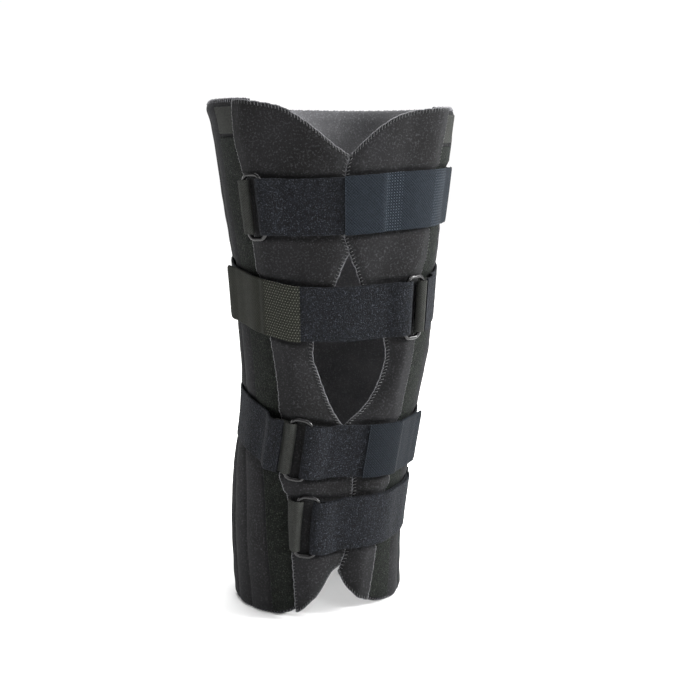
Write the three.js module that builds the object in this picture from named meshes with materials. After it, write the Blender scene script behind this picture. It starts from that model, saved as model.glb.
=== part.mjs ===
// Knee immobilizer: a foam panel round the back of the leg, two foam wings that meet
// in front and leave a window for the kneecap, and four straps doubled back through rings.
// It stands on its hem. The front looks towards -Y, the wearer's leg runs along +Z.
import * as THREE from 'three';

// Sizes in mm
const HEIGHT = 366;        // hem to the rim of the left wing
const LEG_WIDTH = 163;     // inside width at the thigh
const LEG_DEPTH = 162;     // inside depth at the thigh
const FOAM = 6;            // thickness of the panels
const RIB = 1.1;           // how far a sewn rib of the back panel stands out
const RIB_PITCH = 20.5;
const RIM_FLARE = 2.5;     // how far the left rim of the back panel turns outwards
const DENT = 1.8;          // how far a strap sinks into a wing
const SINK = 1.5;          // how far it sinks into the back panel and all that lies on that
const WING_LIFT = 2.5;     // clear space between the leg and the wings along the seam
const STRIP = 1.6;         // loop strips at the sides
const LAP = 9;             // how far the back panel reaches under a wing
const THIN = 2.2;          // how much thinner a wing is at its outer edge
const STRAP_WIDTH = 38.1;
const STRAP = 1.8;         // thickness of the loop webbing
const TAB = 1.6;           // thickness of the hook tabs
const TAB_LAP = 24;        // length of a tab that is sewn on its strap
const KEEPER = 1.6;        // thickness of the webbing that holds a ring
const KEEPER_TAIL = 22;
const BAR = 3;             // thickness of a ring
const RING_WIDTH = 17;
const RING_CORNER = 4.5;
const GAP = 0.3;           // clearance between the pieces
const RING_GAP = 0.7;      // clearance between a ring and the webbing round its bars

// Form of the leg: height as a share of HEIGHT, half width and sideways shift as
// shares of LEG_WIDTH, half depth and backward shift as shares of LEG_DEPTH
const LEG = [
  { at: 0.000, wide: 0.345, side: -0.101, deep: 0.321, back: 0.056 },
  { at: 0.123, wide: 0.354, side: -0.100, deep: 0.346, back: 0.062 },
  { at: 0.260, wide: 0.365, side: -0.069, deep: 0.364, back: 0.062 },
  { at: 0.396, wide: 0.367, side: -0.022, deep: 0.377, back: 0.043 },
  { at: 0.533, wide: 0.393, side: 0.009, deep: 0.383, back: 0.019 },
  { at: 0.683, wide: 0.414, side: 0.015, deep: 0.414, back: 0.000 },
  { at: 0.833, wide: 0.457, side: 0.019, deep: 0.457, back: 0.000 },
  { at: 1.000, wide: 0.504, side: 0.023, deep: 0.500, back: 0.000 },
];

// Angles in degrees round the leg, 0 in front, positive towards +X, at shares of HEIGHT.
// Outer and inner edge of each wing, and the line where the ribs begin.
const LEFT_OUTER = [
  { at: 0.000, deg: -22.4 }, { at: 0.137, deg: -23.7 }, { at: 0.246, deg: -29.3 },
  { at: 0.300, deg: -36.0 }, { at: 0.400, deg: -39.8 }, { at: 0.505, deg: -44.1 },
  { at: 0.580, deg: -47.6 }, { at: 0.675, deg: -53.4 }, { at: 0.860, deg: -54.7 },
  { at: 0.934, deg: -57.7 }, { at: 1.000, deg: -56.5 },
];
const RIGHT_OUTER = [
  { at: 0.000, deg: 22.0 }, { at: 0.098, deg: 28.0 }, { at: 0.134, deg: 29.8 },
  { at: 0.246, deg: 33.8 }, { at: 0.430, deg: 35.2 }, { at: 0.551, deg: 37.7 },
  { at: 0.672, deg: 39.1 }, { at: 0.705, deg: 42.6 }, { at: 0.880, deg: 45.2 },
  { at: 0.945, deg: 48.0 }, { at: 1.000, deg: 50.5 },
];
const LEFT_INNER = [
  { at: 0.087, deg: 4.2 }, { at: 0.109, deg: 6.6 }, { at: 0.134, deg: 9.4 },
  { at: 0.240, deg: 10.4 }, { at: 0.270, deg: 9.8 }, { at: 0.300, deg: 8.0 },
  { at: 0.340, deg: 3.0 },
  { at: 0.385, deg: -1.8 },
  { at: 0.398, deg: -5.2 }, { at: 0.430, deg: -11.6 }, { at: 0.455, deg: -15.4 },
  { at: 0.490, deg: -19.8 }, { at: 0.524, deg: -23.1 }, { at: 0.548, deg: -22.7 },
  { at: 0.660, deg: -10.6 }, { at: 0.680, deg: -8.2 }, { at: 0.700, deg: -5.8 },
  { at: 0.719, deg: -3.2 }, { at: 0.748, deg: -5.7 }, { at: 0.860, deg: -5.1 },
  { at: 0.895, deg: -2.95 },
];
const RIGHT_INNER = [
  { at: 0.087, deg: 4.7 }, { at: 0.109, deg: 7.1 }, { at: 0.134, deg: 9.9 },
  { at: 0.240, deg: 10.9 }, { at: 0.270, deg: 10.3 }, { at: 0.300, deg: 8.5 },
  { at: 0.340, deg: 3.6 },
  { at: 0.385, deg: -0.8 },
  { at: 0.392, deg: 0.5 }, { at: 0.410, deg: 6.8 }, { at: 0.429, deg: 11.9 },
  { at: 0.452, deg: 15.8 }, { at: 0.486, deg: 19.2 }, { at: 0.517, deg: 20.5 },
  { at: 0.543, deg: 19.2 }, { at: 0.658, deg: 3.5 }, { at: 0.691, deg: 0.3 },
  { at: 0.705, deg: -1.6 }, { at: 0.719, deg: -2.7 }, { at: 0.748, deg: -5.2 },
  { at: 0.860, deg: -4.6 }, { at: 0.895, deg: -2.45 },
];
const LEFT_RIBS = [
  { at: 0.000, deg: -41.0 }, { at: 0.149, deg: -43.6 }, { at: 0.262, deg: -48.3 },
  { at: 0.417, deg: -63.5 }, { at: 0.548, deg: -68.0 }, { at: 0.749, deg: -75.0 },
  { at: 1.000, deg: -76.0 },
];
const RIGHT_RIBS = [
  { at: 0.000, deg: 47.0 }, { at: 0.137, deg: 50.0 }, { at: 0.260, deg: 54.0 },
  { at: 0.546, deg: 58.0 }, { at: 0.750, deg: 62.0 }, { at: 1.000, deg: 70.0 },
];

// Rim of the wings and of the back panel: angle, height as a share of HEIGHT
const LEFT_TOP = [
  { at: -60.0, up: 1.000 }, { at: -54.6, up: 1.000 }, { at: -40.5, up: 0.991 },
  { at: -33.3, up: 0.983 }, { at: -24.4, up: 0.962 }, { at: -15.8, up: 0.934 },
  { at: -9.3, up: 0.911 }, { at: -2.7, up: 0.893 },
];
const RIGHT_TOP = [
  { at: -2.7, up: 0.893 }, { at: 4.4, up: 0.920 }, { at: 11.4, up: 0.943 },
  { at: 21.3, up: 0.964 }, { at: 32.9, up: 0.974 }, { at: 55.0, up: 0.981 },
];
const LEFT_HEM = [
  { at: -26.0, up: 0.013 }, { at: -22.0, up: 0.015 }, { at: -19.5, up: 0.018 },
  { at: -15.3, up: 0.031 }, { at: -10.3, up: 0.046 }, { at: -5.5, up: 0.066 },
  { at: -2.5, up: 0.082 }, { at: 1.7, up: 0.097 }, { at: 5.0, up: 0.103 },
];
const RIGHT_HEM = [
  { at: 4.5, up: 0.094 }, { at: 5.7, up: 0.086 }, { at: 10.8, up: 0.056 },
  { at: 17.3, up: 0.035 }, { at: 22.0, up: 0.028 }, { at: 28.0, up: 0.023 },
];
const BACK_TOP = [
  { at: -180, up: 1.004 }, { at: -94, up: 1.010 }, { at: -63, up: 1.006 },
  { at: -45, up: 1.000 }, { at: 30, up: 0.979 }, { at: 60, up: 0.984 },
  { at: 74, up: 0.987 }, { at: 110, up: 0.993 }, { at: 180, up: 1.004 },
];
const BACK_HEM = [
  { at: -180, up: 0.000 }, { at: -40, up: 0.000 }, { at: -30, up: 0.006 },
  { at: -22, up: 0.019 }, { at: -13, up: 0.042 }, { at: 12, up: 0.058 },
  { at: 22, up: 0.031 }, { at: 28, up: 0.018 }, { at: 36, up: 0.009 },
  { at: 46, up: 0.004 }, { at: 58, up: 0.000 }, { at: 180, up: 0.000 },
];

// Where the rim of the back panel turns outwards, as a share of RIM_FLARE
const FLARE = [
  { at: -180, out: 0 }, { at: -150, out: 0 }, { at: -110, out: 1 }, { at: -85, out: 1 },
  { at: -62, out: 0 }, { at: 180, out: 0 },
];

// Straps: side +1 where the ring is on the +X side, and angles of the ring, of the
// strap's end on the body, of the hook tab's two ends, and how far the tab lifts off
const STRAPS = [
  { name: '1', side: -1, ring: -47.0, start: 235, tab: -5.5, end: 68, lift: 0.2,
    hugs: true, path: [
      { at: -180, up: 0.828 }, { at: -90, up: 0.817 }, { at: -60, up: 0.809 },
      { at: -44, up: 0.805 }, { at: -25, up: 0.803 }, { at: -5, up: 0.804 },
      { at: 22, up: 0.810 }, { at: 45, up: 0.814 }, { at: 90, up: 0.822 },
      { at: 180, up: 0.828 }] },
  { name: '2', side: 1, ring: 31.2, start: 13.0, tab: -27.2, end: -84, lift: 3.0,
    hugs: false, path: [
      { at: -180, up: 0.684 }, { at: -135, up: 0.674 }, { at: -90, up: 0.645 },
      { at: -63, up: 0.630 }, { at: -43, up: 0.618 }, { at: -28, up: 0.607 },
      { at: -5, up: 0.604 }, { at: 13, up: 0.607 }, { at: 36, up: 0.611 },
      { at: 66, up: 0.621 }, { at: 90, up: 0.634 },
      { at: 135, up: 0.670 }, { at: 180, up: 0.684 }] },
  { name: '3', side: -1, ring: -24.9, start: 13.0, tab: 12.2, end: 66, lift: 2.0,
    hugs: false, path: [
      { at: -180, up: 0.410 }, { at: -135, up: 0.407 }, { at: -90, up: 0.391 },
      { at: -74, up: 0.385 }, { at: -50, up: 0.364 }, { at: -40, up: 0.352 },
      { at: -27, up: 0.347 }, { at: -8, up: 0.341 }, { at: 12, up: 0.337 },
      { at: 33, up: 0.335 }, { at: 50, up: 0.334 }, { at: 90, up: 0.341 },
      { at: 135, up: 0.385 }, { at: 180, up: 0.410 }] },
  { name: '4', side: -1, ring: -15.6, start: 235, tab: 92, end: 142, lift: 0.5,
    hugs: true, path: [
      { at: -180, up: 0.206 }, { at: -90, up: 0.201 }, { at: -25, up: 0.195 },
      { at: -10, up: 0.194 }, { at: 25, up: 0.194 }, { at: 50, up: 0.194 },
      { at: 90, up: 0.192 }, { at: 180, up: 0.206 }] },
];

const COLOURS = {
  foam: 0x2b2b2c, loop: 0x1d1f22, strip: 0x161816, hook: 0x23282e, smooth: 0x3a3b38,
  plastic: 0x0d0d0e,
};

const DEG = Math.PI / 180;
const OVER = FOAM + STRIP + 3 * GAP;   // inside of a wing where it laps the strip
const smooth = (t) => { const c = Math.min(1, Math.max(0, t)); return c * c * (3 - 2 * c); };
const mix = (a, b, t) => a + (b - a) * t;

// Value of a table's column at x, on a curve that never swings past its rows
function curve(rows, key, x) {
  const last = rows.length - 1;
  if (x <= rows[0].at) return rows[0][key];
  if (x >= rows[last].at) return rows[last][key];
  let i = 0;
  while (x > rows[i + 1].at) i += 1;
  const slope = (k) => (rows[k + 1][key] - rows[k][key]) / (rows[k + 1].at - rows[k].at);
  const lean = (k) => {
    if (k === 0) return slope(0);
    if (k === last) return slope(last - 1);
    const a = slope(k - 1), b = slope(k);
    return a * b > 0 ? 2 * a * b / (a + b) : 0;
  };
  const step = rows[i + 1].at - rows[i].at, t = (x - rows[i].at) / step;
  const a = rows[i][key], b = rows[i + 1][key], u = 1 - t;
  return a * (1 + 2 * t) * u * u + b * (3 - 2 * t) * t * t
    + step * t * u * (u * lean(i) - t * lean(i + 1));
}

// A point at an angle round the leg, at height z, out from the leg's surface by d
function point(deg, z, d) {
  const at = z / HEIGHT;
  const wide = curve(LEG, 'wide', at) * LEG_WIDTH + d;
  const deep = curve(LEG, 'deep', at) * LEG_DEPTH + d;
  const side = curve(LEG, 'side', at) * LEG_WIDTH;
  const back = curve(LEG, 'back', at) * LEG_DEPTH;
  return new THREE.Vector3(side + wide * Math.sin(deg * DEG), back - deep * Math.cos(deg * DEG), z);
}
const mmPerDegree = (deg, z, d) => point(deg + 0.5, z, d).distanceTo(point(deg - 0.5, z, d));
const wrapped = (deg) => deg - 360 * Math.round(deg / 360);
const degAt = (rows, z) => curve(rows, 'deg', z / HEIGHT);

// Directions at a ring: up along the leg, and along the strap, square to it
function ringFrame(strap) {
  const z = curve(strap.path, 'up', strap.ring) * HEIGHT, d = FOAM + OVER;
  const up = point(strap.ring, z + 19, d).sub(point(strap.ring, z - 19, d)).normalize();
  const level = point(strap.ring + 1, z, d).sub(point(strap.ring - 1, z, d)).normalize();
  const tilt = level.dot(up);
  const along = level.clone().addScaledVector(up, -tilt).normalize();
  const scale = mmPerDegree(strap.ring, z, d);
  return { z, up, along, scale, slope: -tilt * up.z, reach: Math.hypot(1, tilt) };
}

// Middle line of a strap, which runs square to its ring close to it
function strapHeight(strap, deg) {
  if (!strap.frame) strap.frame = ringFrame(strap);
  const { z, scale, slope } = strap.frame;
  const free = curve(strap.path, 'up', wrapped(deg)) * HEIGHT;
  const t = wrapped(deg - strap.ring) * scale;
  return mix(z + slope * t, free, smooth((Math.abs(t) - 13) / 14));
}

// A wing's outer and inner edge, and its rim and hem
const WINGS = {
  left: { outer: LEFT_OUTER, inner: LEFT_INNER, top: LEFT_TOP, hem: LEFT_HEM, ribs: LEFT_RIBS },
  right: { outer: RIGHT_OUTER, inner: RIGHT_INNER, top: RIGHT_TOP, hem: RIGHT_HEM, ribs: RIGHT_RIBS },
};

// 1 where a strap lies, 0 from its start to its ring, where the panel is bare
function covered(strap, deg) {
  if (Math.abs(strap.start) < 90) return 1;
  const a = wrapped(deg);
  return 1 - smooth((strap.ring - 14 - a) / 16) * smooth((a - strap.start + 360) / 16);
}

// Share of a strap's full pressure: 1 under its middle, 0 a few mm beside it
function pressedBy(deg, z) {
  let most = 0;
  for (const strap of STRAPS) {
    const off = Math.abs(z - strapHeight(strap, deg)) - STRAP_WIDTH / 2;
    const share = 0.85 * smooth(-off / 4 + 1) + 0.15 * smooth(-off / 12);
    most = Math.max(most, share * covered(strap, deg));
  }
  return most;
}

// How far the inside of a wing stands off the leg, s mm in from its outer edge
function wingLift(s, width, press) {
  const ramp = Math.max(6, Math.min(26, width - LAP - 1));
  return mix(OVER - SINK * press, WING_LIFT, smooth((s - LAP - 1) / ramp));
}
const thinned = (s) => THIN * Math.max(0, 1 - s / (LAP + 1));

// How far the rim of the back panel turns outwards
const flared = (deg, share) => RIM_FLARE * curve(FLARE, 'out', wrapped(deg)) * smooth((share - 0.95) / 0.05);

// Outside of whatever lies under the straps
function topOf(deg, z) {
  const a = wrapped(deg), wing = a < 0 ? WINGS.left : WINGS.right;
  const outer = degAt(wing.outer, z), inner = degAt(wing.inner, z);
  const scale = mmPerDegree(outer, z, OVER), press = pressedBy(a, z);
  if (Math.abs(a) <= Math.abs(outer)) {
    const s = Math.abs(outer - a) * scale, width = Math.abs(outer - inner) * scale;
    return wingLift(s, width, press) + FOAM - thinned(s) - DENT * press + 0.35;
  }
  const ribs = Math.abs(degAt(wing.ribs, z)), level = FOAM - SINK * press + 0.1;
  if (Math.abs(a) <= ribs) return level + GAP + STRIP;
  return Math.abs(a) < ribs + 3 * RIB_PITCH / scale ? level + RIB * (1 - press) : level;
}

// The same, eased over a few mm either way and taken across a strap's width
function envelope(strap, deg, reach) {
  const half = STRAP_WIDTH / 2, z = strapHeight(strap, deg), scale = mmPerDegree(deg, z, OVER);
  const highest = (a) => Math.max(topOf(a, z - half), topOf(a, z), topOf(a, z + half));
  const steps = 5, levels = [];
  for (let i = -2 * steps; i <= 2 * steps; i += 1) {
    levels.push(highest(deg + i * reach / steps / scale));
  }
  let sum = 0;
  for (let i = 0; i <= 2 * steps; i += 1) sum += Math.max(...levels.slice(i, i + 2 * steps + 1));
  return sum / (2 * steps + 1);
}

function meshOf(name, colour, positions, index, rough = 0.9) {
  let volume = 0;
  const p = positions;
  for (let i = 0; i < index.length; i += 3) {
    volume += p[index[i]].dot(p[index[i + 1]].clone().cross(p[index[i + 2]]));
  }
  const order = volume < 0 ? index.slice().reverse() : index;
  const geometry = new THREE.BufferGeometry();
  const flat = p.flatMap((v) => [v.x, v.y, v.z]);
  geometry.setAttribute('position', new THREE.Float32BufferAttribute(flat, 3));
  geometry.setIndex(order);
  geometry.computeVertexNormals();
  const mesh = new THREE.Mesh(geometry, new THREE.MeshStandardMaterial({
    color: colour, roughness: rough, metalness: 0, name: `${name}_surface` }));
  mesh.name = name;
  return mesh;
}

// A closed sheet from its outer and inner grid of points. The edges are eased by
// drawing both faces in; a side named in flat keeps a square, level edge.
function sheet(name, colour, outer, inner, ease, flat = []) {
  const rows = outer.length, cols = outer[0].length;
  const mid = outer.map((row, i) => row.map((v, j) => v.clone().add(inner[i][j]).multiplyScalar(0.5)));
  const drawn = (grid) => grid.map((row, i) => row.map((v, j) => {
    const moved = v.clone();
    const pull = (k, l) => moved.add(grid[k][l].clone().sub(v).setLength(ease));
    if (i === 0 && !flat.includes('low')) pull(1, j);
    if (i === rows - 1 && !flat.includes('high')) pull(rows - 2, j);
    if (j === 0 && !flat.includes('first')) pull(i, 1);
    if (j === cols - 1 && !flat.includes('last')) pull(i, cols - 2);
    return moved;
  }));
  const positions = [], index = [];
  const faces = [drawn(outer), drawn(inner)];
  faces.forEach((grid) => grid.forEach((row) => positions.push(...row)));
  const at = (face, i, j) => face * rows * cols + i * cols + j;
  for (let i = 0; i < rows - 1; i += 1) {
    for (let j = 0; j < cols - 1; j += 1) {
      index.push(at(0, i, j), at(0, i, j + 1), at(0, i + 1, j + 1));
      index.push(at(0, i, j), at(0, i + 1, j + 1), at(0, i + 1, j));
      index.push(at(1, i, j), at(1, i + 1, j + 1), at(1, i, j + 1));
      index.push(at(1, i, j), at(1, i + 1, j), at(1, i + 1, j + 1));
    }
  }
  const rim = [];
  for (let j = 0; j < cols - 1; j += 1) rim.push([0, j]);
  for (let i = 0; i < rows - 1; i += 1) rim.push([i, cols - 1]);
  for (let j = cols - 1; j > 0; j -= 1) rim.push([rows - 1, j]);
  for (let i = rows - 1; i > 0; i -= 1) rim.push([i, 0]);
  const first = positions.length;
  rim.forEach(([i, j]) => positions.push(mid[i][j]));
  rim.forEach(([i, j], n) => {
    const next = (n + 1) % rim.length, [k, l] = rim[next];
    const m = first + n, o = first + next;
    index.push(at(0, i, j), m, o, at(0, i, j), o, at(0, k, l));
    index.push(m, at(1, i, j), at(1, k, l), m, at(1, k, l), o);
  });
  return meshOf(name, colour, positions, index);
}

// A closed ribbon along a path of angles and levels, its two long edges rounded
function ribbon(name, colour, strap, path, thick, width, rough) {
  const zs = path.map((p) => strapHeight(strap, p.deg));
  const sections = path.map((p, i) => {
    const a = path[Math.max(0, i - 1)], b = path[Math.min(path.length - 1, i + 1)];
    const scale = mmPerDegree(p.deg, zs[i], p.d);
    const unit = (from, to) => {
      const x = (to.deg - from.deg) * scale, y = to.d - from.d, n = Math.hypot(x, y) || 1;
      return [-y / n, x / n];
    };
    const before = i > 0 ? unit(a, p) : unit(p, b), after = i < path.length - 1 ? unit(p, b) : before;
    let x = before[0] + after[0], y = before[1] + after[1];
    const n = Math.hypot(x, y);
    x /= n;
    y /= n;
    const reach = thick / 2 / Math.max(0.6, x * after[0] + y * after[1]);
    const ease = thick * 0.4, half = width / 2;
    const place = (side, across) => point(
      p.deg + side * reach * x / scale + across * (p.lean || 0),
      zs[i] + across * strap.frame.up.z, p.d + side * reach * y);
    return [place(1, half - ease), place(0, half), place(-1, half - ease),
      place(-1, ease - half), place(0, -half), place(1, ease - half)];
  });
  return loft(name, colour, sections, false, rough);
}

// Joins rings of points one after another; open ends are capped
function loft(name, colour, sections, round, rough) {
  const n = sections[0].length, positions = sections.flat(), index = [];
  const turns = round ? sections.length : sections.length - 1;
  for (let i = 0; i < turns; i += 1) {
    const a = i * n, b = ((i + 1) % sections.length) * n;
    for (let j = 0; j < n; j += 1) {
      const k = (j + 1) % n;
      index.push(a + j, a + k, b + k, a + j, b + k, b + j);
    }
  }
  if (!round) {
    const end = (sections.length - 1) * n;
    for (let j = 1; j < n - 1; j += 1) {
      index.push(0, j + 1, j, end, end + j, end + j + 1);
    }
  }
  return meshOf(name, colour, positions, index, rough);
}

const group = new THREE.Group();
group.name = 'knee_immobilizer';

// Lines round the leg that the rows of the panels follow: from the hem by the edges
// of each strap to the rim, with a count of rows from each line to the next
function linesBetween(hem, rim, counts) {
  const half = STRAP_WIDTH / 2, knots = [hem];
  for (const strap of [...STRAPS].reverse()) {
    knots.push((deg) => strapHeight(strap, deg) - half, (deg) => strapHeight(strap, deg) + half);
  }
  knots.push(rim);
  const lines = [];
  counts.forEach((count, k) => {
    for (let i = 0; i < count; i += 1) lines.push((deg) => mix(knots[k](deg), knots[k + 1](deg), i / count));
  });
  return [...lines, rim];
}
const COUNTS = [3, 1, 2, 1, 4, 1, 3, 1, 3];
const backHem = (deg) => curve(BACK_HEM, 'up', wrapped(deg)) * HEIGHT;
const backRim = (deg) => curve(BACK_TOP, 'up', wrapped(deg)) * HEIGHT;
const BACK_LINES = linesBetween(backHem, backRim, COUNTS);
const shareAt = (deg, z) => (z - backHem(deg)) / (backRim(deg) - backHem(deg));

// Angles from the front edge of the back panel to its ribs, at one side
function anglesBeside(side, z, scale) {
  const wing = WINGS[side], sign = side === 'left' ? 1 : -1;
  const front = degAt(wing.outer, z) + sign * LAP / scale;
  return [0, 1, 2, 3, 4].map((k) => mix(front, degAt(wing.ribs, z), k / 4));
}

// Back panel, with three sewn ribs at each side
function backPanel() {
  const outer = [], inner = [];
  for (const line of BACK_LINES) {
    const z = line(90), scale = mmPerDegree(90, z, FOAM), pitch = RIB_PITCH / scale;
    const right = anglesBeside('right', z, scale), left = anglesBeside('left', z, scale);
    const ribs = [right[4], 360 + left[4]], columns = [];
    for (let k = 0; k < 4; k += 1) columns.push([right[k], 0]);
    for (let k = 0; k < 9; k += 1) columns.push([ribs[0] + k * pitch / 3, k % 3 ? RIB : 0]);
    for (let k = 0; k < 10; k += 1) {
      columns.push([mix(ribs[0] + 3 * pitch, ribs[1] - 3 * pitch, k / 10), 0]);
    }
    for (let k = 0; k < 9; k += 1) columns.push([ribs[1] - (3 - k / 3) * pitch, k % 3 ? RIB : 0]);
    for (let k = 4; k >= 0; k -= 1) columns.push([360 + left[k], 0]);
    outer.push(columns.map(([deg, rib]) => {
      const up = line(deg), press = pressedBy(deg, up);
      const d = FOAM + rib * (1 - press) - SINK * press;
      return point(deg, up, d + flared(deg, shareAt(deg, up)));
    }));
    inner.push(columns.map(([deg]) => point(deg, line(deg), flared(deg, shareAt(deg, line(deg))))));
  }
  return sheet('back_panel', COLOURS.foam, outer, inner, 1.2, ['low']);
}
group.add(backPanel());

// Loop strips down the sides, and the smooth tab at the head of each
function sideStrip(side, low, high, from, name, colour, thick) {
  const sign = side === 'left' ? 1 : -1, beside = sign * -60;
  const end = (share) => (deg) => mix(backHem(deg), backRim(deg), share);
  const lines = BACK_LINES.filter((line) => {
    const share = shareAt(beside, line(beside));
    return share > low + 0.01 && share < high - 0.01;
  });
  const outer = [], inner = [];
  for (const line of [end(low), ...lines, end(high)]) {
    const z = line(90), scale = mmPerDegree(90, z, FOAM), angles = anglesBeside(side, z, scale);
    angles[0] -= sign * 2 / scale;
    angles[4] += sign * from / scale;
    angles.reverse();
    const row = (d) => angles.map((deg) => {
      const up = line(deg);
      return point(deg, up, d - SINK * pressedBy(deg, up) + flared(deg, shareAt(deg, up)));
    });
    outer.push(row(FOAM + GAP + thick));
    inner.push(row(FOAM + GAP));
  }
  return sheet(name, colour, outer, inner, thick * 0.4);
}
group.add(sideStrip('left', 0.008, 0.930, 1.5, 'side_strip_left', COLOURS.strip, STRIP));
group.add(sideStrip('right', 0.008, 0.925, 1.5, 'side_strip_right', COLOURS.strip, STRIP));
group.add(sideStrip('left', 0.936, 0.985, 1.5, 'stay_tab_left', COLOURS.smooth, STRIP));
group.add(sideStrip('right', 0.931, 0.985, 1.5, 'stay_tab_right', COLOURS.smooth, STRIP));

// Wings: each row is a line from the outer edge to the inner one
function frontWing(side) {
  const wing = WINGS[side];
  const hem = (deg) => curve(wing.hem, 'up', deg) * HEIGHT, rim = (deg) => curve(wing.top, 'up', deg) * HEIGHT;
  const outer = [], inner = [];
  for (const line of linesBetween(hem, rim, COUNTS)) {
    const rowOut = [], rowIn = [];
    for (let j = 0; j <= 6; j += 1) {
      let z = line(degAt(wing.inner, line(0))), deg = 0, width = 0, s = 0;
      for (let n = 0; n < 6; n += 1) {
        const from = degAt(wing.outer, z), to = degAt(wing.inner, z), scale = mmPerDegree(from, z, OVER);
        width = Math.abs(to - from) * scale;
        const lap = (LAP + 1) / width;
        s = j === 0 ? 0 : mix(lap, 1, (j - 1) / 5);
        deg = mix(from, to, s);
        z = line(deg);
      }
      const press = pressedBy(deg, z), lift = wingLift(s * width, width, press);
      rowOut.push(point(deg, z, lift + FOAM - thinned(s * width) - DENT * press));
      rowIn.push(point(deg, z, lift));
    }
    outer.push(rowOut);
    inner.push(rowIn);
  }
  return sheet(`front_panel_${side}`, COLOURS.foam, outer, inner, 1.2);
}
group.add(frontWing('left'));
group.add(frontWing('right'));

// Level of what lies under a strap, straight between angles a step apart
const STEP = 6;
function under(strap, deg) {
  const i = Math.floor(deg / STEP);
  const level = (k) => {
    const key = ((k % 60) + 60) % 60;
    strap.levels = strap.levels || {};
    if (strap.levels[key] === undefined) strap.levels[key] = envelope(strap, key * STEP, 7);
    return strap.levels[key];
  };
  return mix(level(i), level(i + 1), deg / STEP - i);
}

// Angles from one to another, with every step of the grid between them
function stations(from, to) {
  const sign = Math.sign(to - from), found = [from];
  const first = sign > 0 ? Math.floor(from / STEP) + 1 : Math.ceil(from / STEP) - 1;
  for (let k = first; sign * (to - k * STEP) > 0.8; k += sign) {
    if (sign * (k * STEP - from) > 0.8) found.push(k * STEP);
  }
  return [...found, to];
}

// Places of a ring's two bars, and the path of each strap round the inner one
function ringPlaces(strap) {
  const z = strapHeight(strap, strap.ring), { scale, reach: skew } = strap.frame;
  const reach = (RING_WIDTH - BAR) / 2 * skew, out = strap.side / scale;
  const inner = strap.ring - out * reach, outer = strap.ring + out * reach;
  const base = Math.max(under(strap, inner), under(strap, outer), under(strap, strap.ring));
  return { z, scale, reach, out, inner, outer, level: base + GAP + STRAP + RING_GAP + BAR / 2 };
}

function strapPath(strap) {
  const at = ringPlaces(strap), side = strap.side, path = [];
  const whole = Math.abs(strap.start) < 90;
  const start = whole ? strap.ring + at.out * strap.start : strap.start;
  const stop = whole ? at.inner + side * 360 : at.inner;
  const radius = BAR / 2 + RING_GAP + STRAP / 2, low = at.level - radius;
  const level = (deg) => under(strap, deg) + GAP + STRAP / 2;
  const tails = (deg) => {
    const t = whole ? (deg - start) / at.out + strap.start : Infinity;
    return (2 * (KEEPER + GAP) + 0.4) * (1 - smooth((t - KEEPER_TAIL - 2) / 9));
  };
  const rise = (deg) => 1 - smooth(Math.abs(deg - stop) * at.scale / 12);
  for (const deg of stations(start, stop).slice(0, -1)) {
    path.push({ deg, d: mix(level(deg) + tails(deg), low, rise(deg)) });
  }
  for (let i = 0; i <= 8; i += 1) {
    const a = (-90 + 180 * i / 8) * DEG;
    path.push({ deg: stop + at.out * radius * Math.cos(a), d: at.level + radius * Math.sin(a) });
  }
  const end = strap.tab - at.out * TAB_LAP + (whole ? side * 360 : 0);
  const near = [3, 6, 9, 12, 15].map((t) => stop - at.out * t);
  for (const deg of [...near, ...stations(near[4], end).slice(1)]) {
    const t = Math.abs(deg - stop) * at.scale;
    const settled = mix(level(deg), low, rise(deg)) + STRAP + GAP;
    path.push({ deg, d: mix(settled, at.level + radius, 1 - smooth(t / 15)) });
  }
  return path;
}

function tabPath(strap) {
  const at = ringPlaces(strap), path = [];
  const length = (strap.end - strap.tab) / -at.out;
  const marks = [TAB_LAP + 1.5, TAB_LAP + 3.5, TAB_LAP + 5.5, TAB_LAP + 7.5, length - 12, length - 6];
  const extra = marks.map((t) => strap.tab - at.out * t);
  const grid = stations(strap.tab, strap.end).filter((deg) => extra.every(
    (other) => Math.abs(other - deg) > 0.7));
  const all = [...grid, ...extra].sort((a, b) => (b - a) * strap.side);
  for (const deg of all) {
    const t = (deg - strap.tab) / -at.out;
    const base = under(strap, deg) + 2 * GAP + STRAP;
    const onStrap = (STRAP + GAP) * (1 - smooth((t - TAB_LAP - 1.5) / 6));
    const lift = strap.lift * smooth((t - length + 14) / 14);
    path.push({ deg, d: base + onStrap + TAB / 2 + lift });
  }
  return path;
}

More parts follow.
